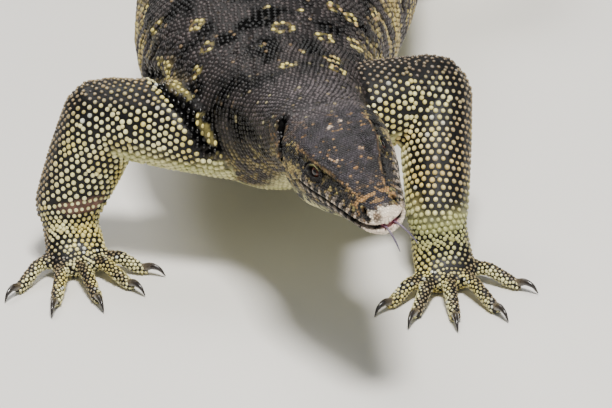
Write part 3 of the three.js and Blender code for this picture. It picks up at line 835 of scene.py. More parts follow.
# Rows of rings over the rest of the trunk.
ringRowShape = {"from": 216, "to": 470, "apart": 37.0, "turn": 24, "each side": 4, "widest": 100, "radius": (3.6, 5.2)}
# Pale spots on the crown: behind the snout, sideways, radius, how warm.
crownSpots = [
    (83, -0.5, 1.9, 0.1), (85, 6.6, 1.6, 0.2), (94, -11.6, 1.1, 0.9), (86, -15.4, 1.5, 1.0), (53, 8, 1.5, 0.7),
    (54, -10.5, 1.2, 0.6), (51, -8, 1.2, 0.5), (40, -0.8, 1.1, 1.0), (47, 5, 1.0, 1.0), (36, -6, 1.0, 0.9),
]
# Lengths are along the spine, and turns in degrees from the top.
spineMarks = {
    "nape": (34, 80), "napeSide": (50, 84), "flank": (64, 82), "flankStart": (116, 140), "chest": (96, 136),
    "belly": (106, 124), "bellyBar": 30, "trunkEnd": (470, 490), "tailStart": (470, 500), "tailBar": 46,
}
skinTree = BVHTree.FromPolygons(
    vectorsOf(skinMesh.vertices, "co").tolist(), [tuple(p.vertices) for p in skinMesh.polygons]
)
faceCorner = np.array([p.vertices[0] for p in skinMesh.polygons])


# Where a ray from the spine comes out of the skin.
def skinHit(along, turn):
    i = int(np.clip(np.searchsorted(spineLength, along), 1, len(spineLength) - 1))
    a = math.radians(turn)
    out = spineUp[i] * math.cos(a) - spineSide[i] * math.sin(a)
    spot = skinTree.ray_cast(Vector(toFrame(spineLine[i])), Vector(out))[0]
    return None if spot is None else fromFrame(np.array(spot))


def backRings():
    made, rows = list(ringSpots), ringRowShape
    for row, at in enumerate(np.arange(rows["from"], rows["to"], rows["apart"])):
        for k in range(-rows["each side"], rows["each side"] + 1):
            t = (k + 0.5 * (row % 2)) * rows["turn"] + rng.uniform(-3, 3)
            if abs(t) < rows["widest"]:
                made.append((at + rng.uniform(-4, 4), t, rng.uniform(*rows["radius"])))
    hits = [(skinHit(at, t), r) for at, t, r in made]
    return [(hit, r) for hit, r in hits if hit is not None]


rings = backRings()


def spineMarkings(p, along, turn):
    speck = noise(p, 1.6, 21)
    drift = noise(p, 11, 22)
    around = np.abs(turn)
    base = mixed(black, brown, smoothStep(drift + 0.4 * speck, 0.45, 1.0))
    # painted sheen: the nape's scales are greyer
    nape = fade(along, *spineMarks["nape"]) * fade(around, *spineMarks["napeSide"])
    base = mixed(base, sheenGrey, nape * (0.3 + 0.5 * speck))
    # rings, and small ones filled as spots
    ring = np.zeros(len(p))
    inside = np.full(len(p), far)
    for centre, r in rings:
        d = np.linalg.norm(p - centre, axis=1)
        ring = np.maximum(ring, fade(np.abs(d - r), 1.1, 1.6) if r > 2 else fade(d, r, r + 0.6))
        inside = np.minimum(inside, d / r)
    trunk = fade(along, *spineMarks["trunkEnd"])
    ring = ring * (noise(p, 2.6, 28) > 0.3) * trunk
    colour = mixed(base, mixed(tan * 1.5, yellow, smoothStep(speck, 0.2, 0.6)), ring)
    # stray pale scales between the rings
    stray = (noise(p, 1.9, 23) > 0.87) * (inside > 1.5) * trunk * smoothStep(along, 60, 100) * 0.4
    colour = mixed(colour, tan, stray)
    # flank: tan and yellow mottling in upright streaks, then the pale belly with dark bars
    flank = smoothStep(around + 14 * (drift - 0.5), *spineMarks["flank"]) * smoothStep(along, *spineMarks["flankStart"])
    streak = noise(np.stack([along, around * 0.22, 0 * along], 1), 5.5, 24)
    mottle = smoothStep(streak + 0.4 * (speck - 0.5), 0.42, 0.62)
    colour = mixed(colour, mixed(brown, mixed(tan, yellow, speck), mottle), flank * 0.9)
    chest = fade(along, *spineMarks["chest"])
    belly = smoothStep(around + 10 * (drift - 0.5) - 34 * chest, *spineMarks["belly"])
    throat = chest * smoothStep(around + 30 * (drift - 0.5), 98, 128)
    dapple = smoothStep(noise(p, 3.6, 30) + 0.3 * (speck - 0.5), 0.46, 0.6)
    colour = mixed(colour, mixed(brown, mixed(tan, yellow, drift) * 0.8, dapple * 0.6), throat * 0.9)
    bars = smoothStep(np.abs((along / spineMarks["bellyBar"] + 0.03 * (180 - around) / 8) % 1 - 0.5), 0.36, 0.46)
    bars = bars * fade(around, 140, 165)
    pale = mixed(cream * 0.9, paleGreen, smoothStep(drift, 0.3, 0.8) * 0.8)
    colour = mixed(colour, mixed(pale, brown, bars * 0.9), belly)
    # neck: a few pale flecks, warm ones behind the jaw, and black painted shadow in the slit behind the jaw
    neck = fade(along, 60, 100)
    fleck = (noise(p, 2.2, 25) > 0.84) * neck * (1 - belly)
    colour = mixed(colour, mixed(tan, cream * 0.7, noise(p, 5, 26)), fleck * 0.5)
    slit, _ = fromLine(p, "jawSlit")
    side = neck * bell(around, 100, 26) * (noise(p, 2.4, 27) > 0.56)
    colour = mixed(colour, mixed(tan, orange, speck), side * fade(slit, 8, 24) * 0.7)
    colour = mixed(colour, black * 0.6, fade(slit, 2.2, 3.2))
    # yellow clusters along the fold over the right arm, and black painted shadow in the fold
    fold, nearest = fromLine(p, "armFold")
    inner = smoothStep(p[:, 0] - nearest[:, 0], 0.5, 2.5) * fade(fold, 8.5, 10) * smoothStep(fold, 3.6, 4.4)
    chain = inner * smoothStep(noise(p, 5.2, 29) + 0.25 * (speck - 0.5), 0.44, 0.5)
    colour = mixed(colour, yellow * (0.7 + 0.5 * speck)[:, None], chain)
    colour = mixed(colour, black * 0.7, fade(fold, 2.6, 3.8))
    # tail: pairs of pale bars that close into rings towards the tip
    tail = smoothStep(along, *spineMarks["tailStart"])
    phase = np.abs((along / spineMarks["tailBar"]) % 1 - 0.5)
    band = fade(phase, 0.1, 0.17) * smoothStep(speck + 0.5 * smoothStep(along, 520, 900), 0.35, 0.6)
    dotted = band * (0.35 + 0.65 * smoothStep(np.cos(np.radians(turn * 5)), -0.3, 0.4))
    colour = mixed(colour, base, tail * (1 - belly))
    colour = mixed(colour, yellow * 0.9, dotted * tail)
    # scale size: rows stand apart on the stretched right side of the neck
    apart = smoothStep(turn, 8, 42) * fade(turn, 110, 130) * fade(along, 105, 135)
    size = np.stack([1 + 0.04 * apart, 1 - 0.34 * apart], 1) * (1 + 0.06 * ring)[:, None]
    return colour, belly, size


def headMarkings(p):
    behind, over, height = headPlace(p)
    speck, patch, blot = noise(p, 1.3, 31), noise(p, 4.5, 32), noise(p, 9, 33)
    edge = height - browEdge(behind)
    crown = smoothStep(edge, 0, 6)
    colour = mixed(slate, black, smoothStep(patch + 0.5 * speck, 0.5, 1.0) * 0.8)
    # sides of the snout and cheek: black with fine yellow specks
    specks = smoothStep(noise(p, 1.7, 34) + 0.25 * (blot - 0.5), 0.60, 0.70) * (1 - crown)
    colour = mixed(colour, black * 1.3, (1 - crown) * 0.8)
    colour = mixed(colour, mixed(tan * 0.9, yellow * 0.6, patch), specks * 0.7)
    # painted shadow: black round the fold behind the jaw
    colour = mixed(colour, black * 0.6, fade(fromLine(fromHead(p), "jawSlit")[0], 2.4, 4.0))
    # painted shadow under the brow shelf: a dark band which holds the eye and runs to the ear
    band = smoothStep(behind, 22, 36) * bell(edge, -9.5, 5.5)
    colour = mixed(colour, black * 0.8, band * 0.95)
    # the brow's edge is a thin tan line
    brow = bell(edge, 1.6, 2.1) * smoothStep(behind, 12, 24) * fade(behind, 78, 88)
    brow = brow * smoothStep(speck + 0.5 * patch, 0.5, 0.8) * 0.8
    colour = mixed(colour, mixed(orange * 0.9, tan * 1.4, patch), brow)
    # few small flecks over the crown, and the ones that show in the photo
    fleck = smoothStep(noise(p, 1.8, 35), 0.77, 0.85) * crown
    colour = mixed(colour, mixed(tan, orange, blot), fleck * 0.85)
    for place, sideways, radius, warmth in crownSpots:
        d = np.hypot(behind - place, p[:, 0] - sideways) + 1.1 * (speck - 0.5)
        spot = fade(d, radius * 0.75, radius * 1.15) * crown
        colour = mixed(colour, lipPale * 0.75 * (1 - warmth) + orange * 0.9 * warmth, spot)
    # tan blotches round the nostrils, cream tip
    nose = bell(behind, 15, 8) * smoothStep(over, 1, 4)
    blotch = smoothStep(noise(p, 2.8, 37) + 0.2 * (speck - 0.5), 0.54, 0.64)
    colour = mixed(colour, mixed(tan * 1.2, orange, patch), nose * blotch * 0.9)
    tip = fade(behind + 5 * (patch - 0.5) + 1.6 * (speck - 0.5), 5.6, 7.2) * smoothStep(over, -2.5, 0)
    colour = mixed(colour, mixed(snow, lipPale, noise(p, 2.6, 45)), tip * 0.97)
    smudge = fade(np.hypot(behind - 3.4, (p[:, 0] + 4.2) * 0.8) + 1.5 * (speck - 0.5), 1.2, 3.2)
    colour = mixed(colour, mixed(orange, brown, patch), smudge * 0.8 * tip)
    # lips: pale with dark bars, whitest at the front of the lower jaw
    lips = bell(np.abs(over), 2.2, 2.0) * fade(behind, 66, 76) * smoothStep(behind, 7, 12)
    bars = smoothStep(np.abs((behind / 6.5 + 0.2 * speck) % 1 - 0.5), 0.16, 0.26)
    colour = mixed(colour, mixed(lipPale * 0.7, black * 1.5, bars), lips * 0.8)
    chin = fade(behind + 2 * (patch - 0.5), 8, 11) * fade(over, -1.5, 0)
    dots = smoothStep(noise(p, 2.6, 38), 0.66, 0.74)
    colour = mixed(colour, mixed(mixed(snow, lipPale, speck), black, dots), chin * 0.95)
    # cheek behind the mouth: tan and yellow patches on dark
    cheek = smoothStep(behind, 62, 74) * smoothStep(-edge, 16, 24) * fade(-height, 14, 34)
    cheek = cheek * smoothStep(noise(p, 3.2, 39), 0.5, 0.62) * 0.8
    colour = mixed(colour, mixed(tan, yellow * 0.8, speck), cheek)
    # lower jaw and throat: pale, with small dark marks
    under = smoothStep(-height, 16, 36) * smoothStep(behind, 8, 14)
    marks = smoothStep(noise(p, 3.0, 36), 0.52, 0.62) * fade(-height, 50, 76)
    throat = mixed(cream * 0.8, paleGreen, smoothStep(blot, 0.35, 0.75))
    return mixed(colour, mixed(throat, black * 2, marks), under), under


def limbMarkings(p, normal, name):
    side = 1 if "left" in name else -1
    speck = noise(p, 1.9, 41)
    drift = noise(p, 12, 42)
    front, out, up = -normal[:, 1], normal[:, 0] * side, normal[:, 2]
    # beads on black skin: cream and yellow in front, small and dull to the outside and back; the dullness is partly
    # smaller, browner beads and partly painted shade on the sides turned from the light
    dull = smoothStep(0.75 * out + 0.7 * np.maximum(up, 0) - 0.35 * front + 0.4 * (drift - 0.5), 0.3, 0.75)
    bead = mixed(yellow, cream, smoothStep(drift + 0.5 * speck, 0.45, 0.95))
    # painted reflection: blue-white on some beads that face up
    bead = mixed(bead, reflectionBlueWhite, (noise(p, 3.1, 43) > 0.78) * smoothStep(up, 0.1, 0.6) * 0.7)
    bead = mixed(bead, mixed(brown * 2.2, tan * 0.9, speck), dull * 0.88)
    skip = (noise(p, 3.0, 44) > 0.84) * (0.35 + 0.6 * dull)
    bead = mixed(bead, brown, skip)
    size = 1 - 0.22 * dull - 0.1 * skip
    # the crook and the under side are solid pale yellow
    if name.startswith(("upper_arm", "thigh")):
        pale = smoothStep(-up + 0.2 * (drift - 0.5), 0.28, 0.62)
    else:
        pale = smoothStep(-0.9 * out - 0.35 * front - 0.25 * up + 0.2 * (drift - 0.5), 0.45, 0.8)
        pale = pale * smoothStep(p[:, 2], 44, 58)
    if name == "forearm_left_fore":
        # browner in front, solid yellow-green towards the wrist
        brownFront = bell(p[:, 2], 60, 17) * smoothStep(front, 0.2, 0.7)
        bead = mixed(bead, tan * (1.7, 1.7, 1.2), brownFront * (0.35 + 0.6 * speck) * 0.85)
        wet = fade(p[:, 2] + 9 * (drift - 0.5) + 4 * (speck - 0.5), 33, 47)
        pale = np.maximum(pale, 0.85 * wet * smoothStep(front, -0.3, 0.4))
    bead = mixed(bead, mixed(cream * 0.9, paleGreen, smoothStep(drift, 0.2, 0.9)), pale)
    if name in ("forearm_left_fore", "hand_left_fore"):
        bead = mixed(bead, mixed(moss, paleGreen * 0.7, speck), bell(p[:, 2], 30, 13) * 0.85)
    if name == "upper_arm_left_fore":
        bead = mixed(bead, brown * 1.8, smoothStep(up, 0.55, 0.9) * (0.3 + 0.5 * speck))
    size = size * (1 + (0.25 if "hind" in name else 0.34) * pale)
    return bead, pale, np.stack([size, size], 1)


# For points in the shoulder frame: the scales' colour, the colour of the skin between them, the scales' size.
def markings(p, normal, owner):
    colour = np.zeros((len(p), 3))
    between = np.zeros((len(p), 3))
    sizes = np.ones((len(p), 2))
    along, turn = onSpine(p)
    fold, nearest = fromLine(p, "armFold")
    # the trunk's markings run on to the fold over the right arm
    onBody = belongsTo(owner, ["upper_arm_right_fore"]) & (p[:, 0] > nearest[:, 0] - 2) & (fold < 40) & (p[:, 2] > 74)
    for index, name in enumerate(partNames):
        here = (owner == index) & ~onBody
        if name == "shoulders":
            here |= onBody
        if not here.any():
            continue
        if name == "head":
            inside = intoHead(p[here])
            tint, pale = headMarkings(inside)
            backTint, backPale, _ = spineMarkings(p[here], along[here], turn[here])
            share = smoothStep(inside[:, 1] + headLength, 90, 108)
            tint, pale = mixed(tint, backTint, share), pale * (1 - share) + backPale * share
            skinTone = tint * (0.45 + 0.4 * np.maximum(pale, smoothStep(tint.mean(1), 0.3, 0.6)))[:, None]
        elif name in spineParts:
            tint, pale, sizes[here] = spineMarkings(p[here], along[here], turn[here])
            skinTone = tint * (0.22 + 0.5 * pale)[:, None]
        else:
            tint, pale, sizes[here] = limbMarkings(p[here], normal[here], name)
            skinTone = mixed(black * 0.9, tint * 0.75, np.clip(pale, 0, 1))
        colour[here], between[here] = tint, skinTone
    return colour, between, sizes


def fromBareWrist(points):
    away = (points - bareWrist["at"]) / bareWrist["half"]
    return np.linalg.norm(away, axis=1) + 0.35 * (noise(points, 4, 52) - 0.5)


# The skin's colour, with its bare places: gums, lips, lids, nostrils and the crease of the right wrist, and black
# painted shade in the mouth's gap, the eye sockets, over the upper lids, in the nostrils and ears and in the slit
# behind the jaw.
def skinColours():
    colour = markings(skinAt, vectorsOf(skinMesh.vertex_normals, "vector"), skinOwner)[1]
    p = intoHead(skinAt)
    behind, over, _ = headPlace(p)
    level, gap = np.abs(over), halfGapAt(behind)
    mouth = onHead * fade(behind, 66, 72)
    showing = fade(behind, 2, 7) * fade(np.abs(p[:, 0] - 1.5), 3.5, 6)
    # painted shade: black inside the mouth's gap, with the gum showing at the front
    colour = mixed(colour, mixed(black, gum, showing), mouth * fade(level, gap, gap + 0.7))
    lip = mouth * bell(level, gap + 1.0, 0.7) * fade(behind, 9, 16)
    colour = mixed(colour, mixed(lipPale, black, (noise(p, 1.6, 51) > 0.82) * 0.8), lip * 0.9)
    for side in (1, -1):
        own = onHead & (np.sign(p[:, 0]) == side)
        r, _, b = fromSpot(p, "eye", side)
        # painted shade: black in the socket round the eyeball and on the lid's upper part under the brow; the lower lid
        # is pale
        colour = mixed(colour, black, own * fade(r, 1.0, 1.12))
        lower = mixed(black, paleGreen * 0.75, smoothStep(-b, 0.6, 0.95))
        colour = mixed(colour, lower, own * bell(r, 1.22, 0.15) * 0.9)
        # painted shade: black in the nostrils and ear holes
        for name in holeShape:
            colour = mixed(colour, black * 0.6, own * fade(fromSpot(p, name, side)[0], 0.7, 1.15))
    # painted shadow: near black in the slit behind the jaw
    colour = mixed(colour, black * 0.2, fade(fromLine(skinAt, "jawSlit")[0], 2.6, 3.6))
    bare = fade(fromBareWrist(skinAt), 0.85, 1.15)
    return mixed(colour, mixed(pink, brown, noise(skinAt, 2.4, 53)), bare * 0.9)


paint(skinMesh, skinColours())
print("skin painted")


def nodeMaterial(name):
    material = bpy.data.materials.new(name)
    material.use_nodes = True
    tree = material.node_tree
    return material, tree, tree.nodes["Principled BSDF"]


def setInputs(node, **values):
    for name, value in values.items():
        node.inputs[name.replace("_", " ")].default_value = value


def ramp(tree, source, low, high, fromLow=0.3, fromHigh=0.7):
    node = tree.nodes.new("ShaderNodeMapRange")
    setInputs(node, From_Min=fromLow, From_Max=fromHigh, To_Min=low, To_Max=high)
    tree.links.new(source, node.inputs["Value"])
    return node.outputs["Result"]


def grain(tree, scale, detail=3.0):
    place = tree.nodes.new("ShaderNodeTexCoord")
    texture = tree.nodes.new("ShaderNodeTexNoise")
    setInputs(texture, Scale=scale, Detail=detail)
    tree.links.new(place.outputs["Object"], texture.inputs["Vector"])
    return texture.outputs["Fac"]


# Painted colour with fine mottling, uneven gloss and a fine relief.
def paintedMaterial(name, look):
    material, tree, shader = nodeMaterial(name)
    attribute = tree.nodes.new("ShaderNodeAttribute")
    attribute.attribute_name = "marking"
    mottle = ramp(tree, grain(tree, look["mottleScale"]), 1 - look["mottle"], 1 + look["mottle"])
    shade = tree.nodes.new("ShaderNodeVectorMath")
    shade.operation = "SCALE"
    tree.links.new(attribute.outputs["Color"], shade.inputs[0])
    tree.links.new(mottle, shade.inputs["Scale"])
    tree.links.new(shade.outputs["Vector"], shader.inputs["Base Color"])
    gloss = ramp(tree, grain(tree, look["glossScale"]), look["roughness"] - 0.07, look["roughness"] + 0.09)
    tree.links.new(gloss, shader.inputs["Roughness"])
    bump = tree.nodes.new("ShaderNodeBump")
    setInputs(bump, Strength=look["relief"], Distance=look["reliefDepth"])
    tree.links.new(grain(tree, look["reliefScale"], 4.0), bump.inputs["Height"])
    tree.links.new(bump.outputs["Normal"], shader.inputs["Normal"])
    shine = look["specular"]
    setInputs(shader, Specular_IOR_Level=shine, Coat_Weight=look["coat"], Coat_Roughness=look["coatRoughness"])
    if "dullBelow" in look:  # the black painted shade in slits and folds takes no shine
        dull = look["dullBelow"]
        level = ramp(tree, attribute.outputs["Fac"], 0.05 * shine, shine, 0.3 * dull, dull)
        tree.links.new(level, shader.inputs["Specular IOR Level"])
    return material


scaleLook = {
    "mottleScale": 900, "mottle": 0.2, "glossScale": 260, "roughness": 0.36, "relief": 0.4, "reliefDepth": 0.0001,
    "reliefScale": 1500, "specular": 0.34, "coat": 0.05, "coatRoughness": 0.2,
}
skinLook = {
    "mottleScale": 400, "mottle": 0.22, "glossScale": 180, "roughness": 0.46, "relief": 0.6, "reliefDepth": 0.00025,
    "reliefScale": 1100, "specular": 0.25, "coat": 0.0, "coatRoughness": 0.3, "dullBelow": 0.0045,
}
eyeLook = {
    "mottleScale": 2200, "mottle": 0.2, "glossScale": 90, "roughness": 0.12, "relief": 0.02, "reliefDepth": 0.00005,
    "reliefScale": 500, "specular": 0.4, "coat": 0.4, "coatRoughness": 0.02,
}
clawLook = {
    "mottleScale": 500, "mottle": 0.3, "glossScale": 300, "roughness": 0.27, "relief": 0.3, "reliefDepth": 0.0001,
    "reliefScale": 900, "specular": 0.55, "coat": 0.3, "coatRoughness": 0.12,
}
tongueLook = {
    "mottleScale": 700, "mottle": 0.2, "glossScale": 300, "roughness": 0.24, "relief": 0.4, "reliefDepth": 0.0001,
    "reliefScale": 1300, "specular": 0.6, "coat": 0.5, "coatRoughness": 0.08,
}
beadLook = {**scaleLook, "roughness": 0.25, "coat": 0.35, "coatRoughness": 0.1, "mottle": 0.14}
skinMaterial = paintedMaterial("lizardSkin", skinLook)
beadMaterial = paintedMaterial("lizardBeads", beadLook)
scaleMaterial = paintedMaterial("lizardScales", scaleLook)
eyeMaterial = paintedMaterial("wetEye", eyeLook)
clawMaterial = paintedMaterial("claws", clawLook)
tongueMaterial = paintedMaterial("tongue", tongueLook)

addPiece("skin", skinMesh, skinMaterial, fleshNodes)

# Scales: pitch across and along, filled share of each, height in the middle, and the width of the top.
scaleKinds = {
    "back": {"across": 3.0, "along": 3.3, "fill": (0.96, 0.9), "height": 0.5, "shape": 0.74},
    "neck": {"across": 2.5, "along": 3.2, "fill": (0.96, 0.9), "height": 0.5, "shape": 0.72},
    "tail": {"across": 2.7, "along": 3.4, "fill": (0.95, 0.94), "height": 0.42, "shape": 0.74},
    "limb": {"across": 4.1, "along": 3.55, "fill": (0.69, 0.77), "height": 1.05, "shape": 0.66},
    "hand": {"across": 3.4, "along": 3.0, "fill": (0.7, 0.78), "height": 0.85, "shape": 0.66},
    "digit": {"across": 2.4, "along": 2.2, "fill": (0.82, 0.86), "height": 0.5, "shape": 0.66},
    "head": {"across": 1.55, "along": 1.45, "fill": (1.0, 0.98), "height": 0.24, "shape": 0.8},
    "lip": {"across": 2.1, "along": 2.2, "fill": (0.92, 0.94), "height": 0.26, "shape": 0.78},
    "brow": {"along": 1.75, "height": 0.34, "shape": 0.7},
    "lid": {"height": 0.3, "shape": 0.6},
}
# Each kind of dome: sides, then rings from the sunk foot up as share of the width and share of the height, then the
# painted light of each ring and of the top: painted shade at the foot, a painted highlight on the top.
plateDome = {"sides": 6, "rings": [(1.0, -0.25), (1.0, 0.8)], "paintedLight": (0.5, 0.96, 1.14)}
beadDome = {"sides": 8, "rings": [(1.0, -0.25), (0.95, 0.36), (1.0, 0.84)], "paintedLight": (0.35, 0.78, 1.0, 1.3)}
setting = {
    "reach": 3.5,  # from a row's place to the skin, at most
    "apart": 0.78,  # of two scales' half sizes, between groups
    "crowd": 1.25,  # of a scale's half size, within a group
    "rays": 64,  # from a line to the skin, for each ring
    "lowest": 0.02,  # height of a scale over the floor
    "patch": 0.0015,  # half size of a scale's place in the UV map
    "slit": 1.9,  # bare skin beside the slit behind the jaw
    "lean": 0.05,
    "darkBelow": 0.08,  # scales darker than this vary more in their shade
    "darkVaries": 0.3,
    "paleVaries": 0.1,
}
# Unevenness is in shares of a pitch or of a scale's size.
rowShape = {
    "rayLength": 0.12,  # metres
    "raysNeeded": 0.3,  # share of a ring's rays that have to find the skin
    "strayPast": 1.7,  # times the ring's usual reach, where a ray has missed the body's own skin
    "waver": 0.9,
    "uneven": 0.06,
    "sizeVaries": 0.08,
    "overlap": 1.08,
}
headRowShape = {"uneven": 0.09, "alongVaries": 0.1, "sizeVaries": 0.1, "overlap": 1.1}
# Shares of a pitch: from scales set before, from the piece's own, and from one another among the last ones chosen.
gapShape = {"clear": 0.62, "open": 0.86, "apart": 0.9, "last": 60}
bareSpots = {"eye": 1.16, "nostril": 1.25, "ear": 1.05}
placedTrees = []  # trees of the scales set so far


def newCoat(name, dome=plateDome):
    return {"name": name, "dome": dome, "rows": []}


def treeOf(points):
    tree = KDTree(len(points))
    for i, p in enumerate(points):
        tree.insert(p, i)
    tree.balance()
    return tree


# Drops scales that stand on ones set before them.
def clearOf(points, reach):
    keep = np.ones(len(points), bool)
    for tree, radius in placedTrees:
        for i in np.flatnonzero(keep):
            if tree.find(points[i])[2] < (reach[i] + radius) * setting["apart"]:
                keep[i] = False
    return keep


# Sets the scales of a group on the skin, if the skin there belongs to the named lengths.
def settle(coat, points, forward, half, kind, place, names, bareTest=None):
    at = np.empty_like(points)
    normal = np.empty_like(points)
    owner = np.full(len(points), -1)
    for i, p in enumerate(toFrame(points)):
        at[i], normal[i], face, distance = skinTree.find_nearest(p)
        if distance * 1000 <= setting["reach"]:
            owner[i] = skinOwner[faceCorner[face]]
    at = fromFrame(at)
    keep = belongsTo(owner, names)
    if bareTest is not None:
        keep &= ~bareTest(at)
    keep[keep] &= clearOf(at[keep], half[keep].mean(1))
    if not keep.any():
        return
    # where rows run together, only the first scale of a place stays
    crowd = treeOf(at)
    for i in np.flatnonzero(keep):
        for _, j, _ in crowd.find_range(at[i], setting["crowd"] * half[i].mean()) if keep[i] else ():
            if j > i:
                keep[j] = False
    at, normal, half, owner, forward, place = (rows[keep] for rows in (at, normal, half, owner, forward, place))
    placedTrees.append((treeOf(at), float(half.mean())))
    ahead = unit(forward - normal * (forward * normal).sum(1)[:, None])
    height, shape = (np.full(len(at), kind[key]) for key in ("height", "shape"))
    coat["rows"].append((at, normal, ahead, half, height, shape, place, owner))


# One row of places round a closed ring of points, each row set half a step on from the last.
def rowRound(ring, angles, top, across, least, row, jitter):
    arc = lengthAlong(ring)
    count = max(least, round(arc[-1] / across))
    step = arc[-1] / count
    middle = np.interp(top, angles, arc)
    k = np.arange(count) - count // 2 + 0.5 * (row % 2)
    where = (middle + k * step + rng.normal(0, jitter * step, count)) % arc[-1]
    points = np.stack([np.interp(where, arc, ring[:, j]) for j in range(3)], 1)
    return points, where / arc[-1], step, count


# Rows of scales round a line: rings of rays from the line find the skin.
def ringRows(coat, line, kind, names, start=upward, bareTest=None, column=(0.0, 1.0)):
    pitch, rays = scaleKinds[kind], setting["rays"]
    along = pitch["along"]
    length = lengthAlong(line)
    forwardAll = unit(np.gradient(line, axis=0))
    angle = (np.arange(rays + 1) / rays - 0.5) * tau
    s, row = 0.6 - along, -1
    gathered = []
    while s + along < length[-1]:
        s += along
        row += 1
        centre = np.array([np.interp(s, length, line[:, k]) for k in range(3)])
        forward = unit(np.array([np.interp(s, length, forwardAll[:, k]) for k in range(3)]))
        up = np.array(start, float)
        up = unit(up - forward * (up @ forward))
        side = np.cross(up, forward)
        rayStart = Vector(toFrame(centre))
        outs = [up * math.cos(a) + side * math.sin(a) for a in angle[:-1]]
        spots = [skinTree.ray_cast(rayStart, Vector(out), rowShape["rayLength"])[0] for out in outs]
        hits = [None if spot is None else fromFrame(np.array(spot)) for spot in spots]
        reached = [np.linalg.norm(h - centre) for h in hits if h is not None]
        if len(reached) < rays * rowShape["raysNeeded"]:
            continue
        typical = np.median(reached)
        ring = []
        for out, h in zip(outs, hits):
            if h is None or np.linalg.norm(h - centre) > typical * rowShape["strayPast"]:
                h = centre + out * typical
            ring.append(h)
        ring = np.array(ring + ring[:1])
        points, share, step, count = rowRound(ring, angle, 0.0, pitch["across"], 5, row, rowShape["uneven"])
        waver = (noise(points, 14, 91) - 0.5) * rowShape["waver"] * along
        points += forward * (waver + rng.normal(0, rowShape["uneven"] * along, count))[:, None]
        size = 1 + rng.normal(0, rowShape["sizeVaries"], (count, 1))
        half = np.array([[step * pitch["fill"][0] / 2, along * pitch["fill"][1] / 2 * rowShape["overlap"]]]) * size
        place = np.stack([column[0] + share * column[1] * 0.98, np.full(count, s / length[-1] * 0.98 + 0.01)], 1)
        gathered.append((points, np.tile(forward, (count, 1)), half, place))
    if gathered:
        points, ahead, half, place = (np.vstack([g[i] for g in gathered]) for i in range(4))
        settle(coat, points, ahead, half, pitch, place, names, bareTest)


# Scales for places that the rows leave open: points of the skin further from any scale than a pitch.
def fillGaps(coat, names, kind, direction, bareTest=None):
    pitch = scaleKinds[kind]
    spacing = 0.5 * (pitch["across"] + pitch["along"])
    points, chosen = skinAt[belongsTo(skinOwner, names)], []
    placed = treeOf(np.vstack([row[0] for row in coat["rows"]]))
    keep = clearOf(points, np.full(len(points), spacing * gapShape["clear"]))
    for i in np.flatnonzero(keep):
        if placed.find(points[i])[2] > spacing * gapShape["open"]:
            last, apart = chosen[-gapShape["last"] :], spacing * gapShape["apart"]
            if all(np.linalg.norm(points[i] - points[j]) > apart for j in last):
                chosen.append(i)
    if not chosen:
        return
    points = points[chosen]
    count = len(points)
    half = np.tile([[pitch["across"] * pitch["fill"][0] / 2, pitch["along"] * pitch["fill"][1] / 2]], (count, 1))
    place = np.stack([0.02 + 0.96 * rng.random(count), 0.02 + 0.96 * rng.random(count)], 1)
    ahead = np.tile(unit(np.array(direction, float)), (count, 1))
    settle(coat, points, ahead, half, pitch, place, names, bareTest)
    print(coat["name"], "gaps filled with", count)


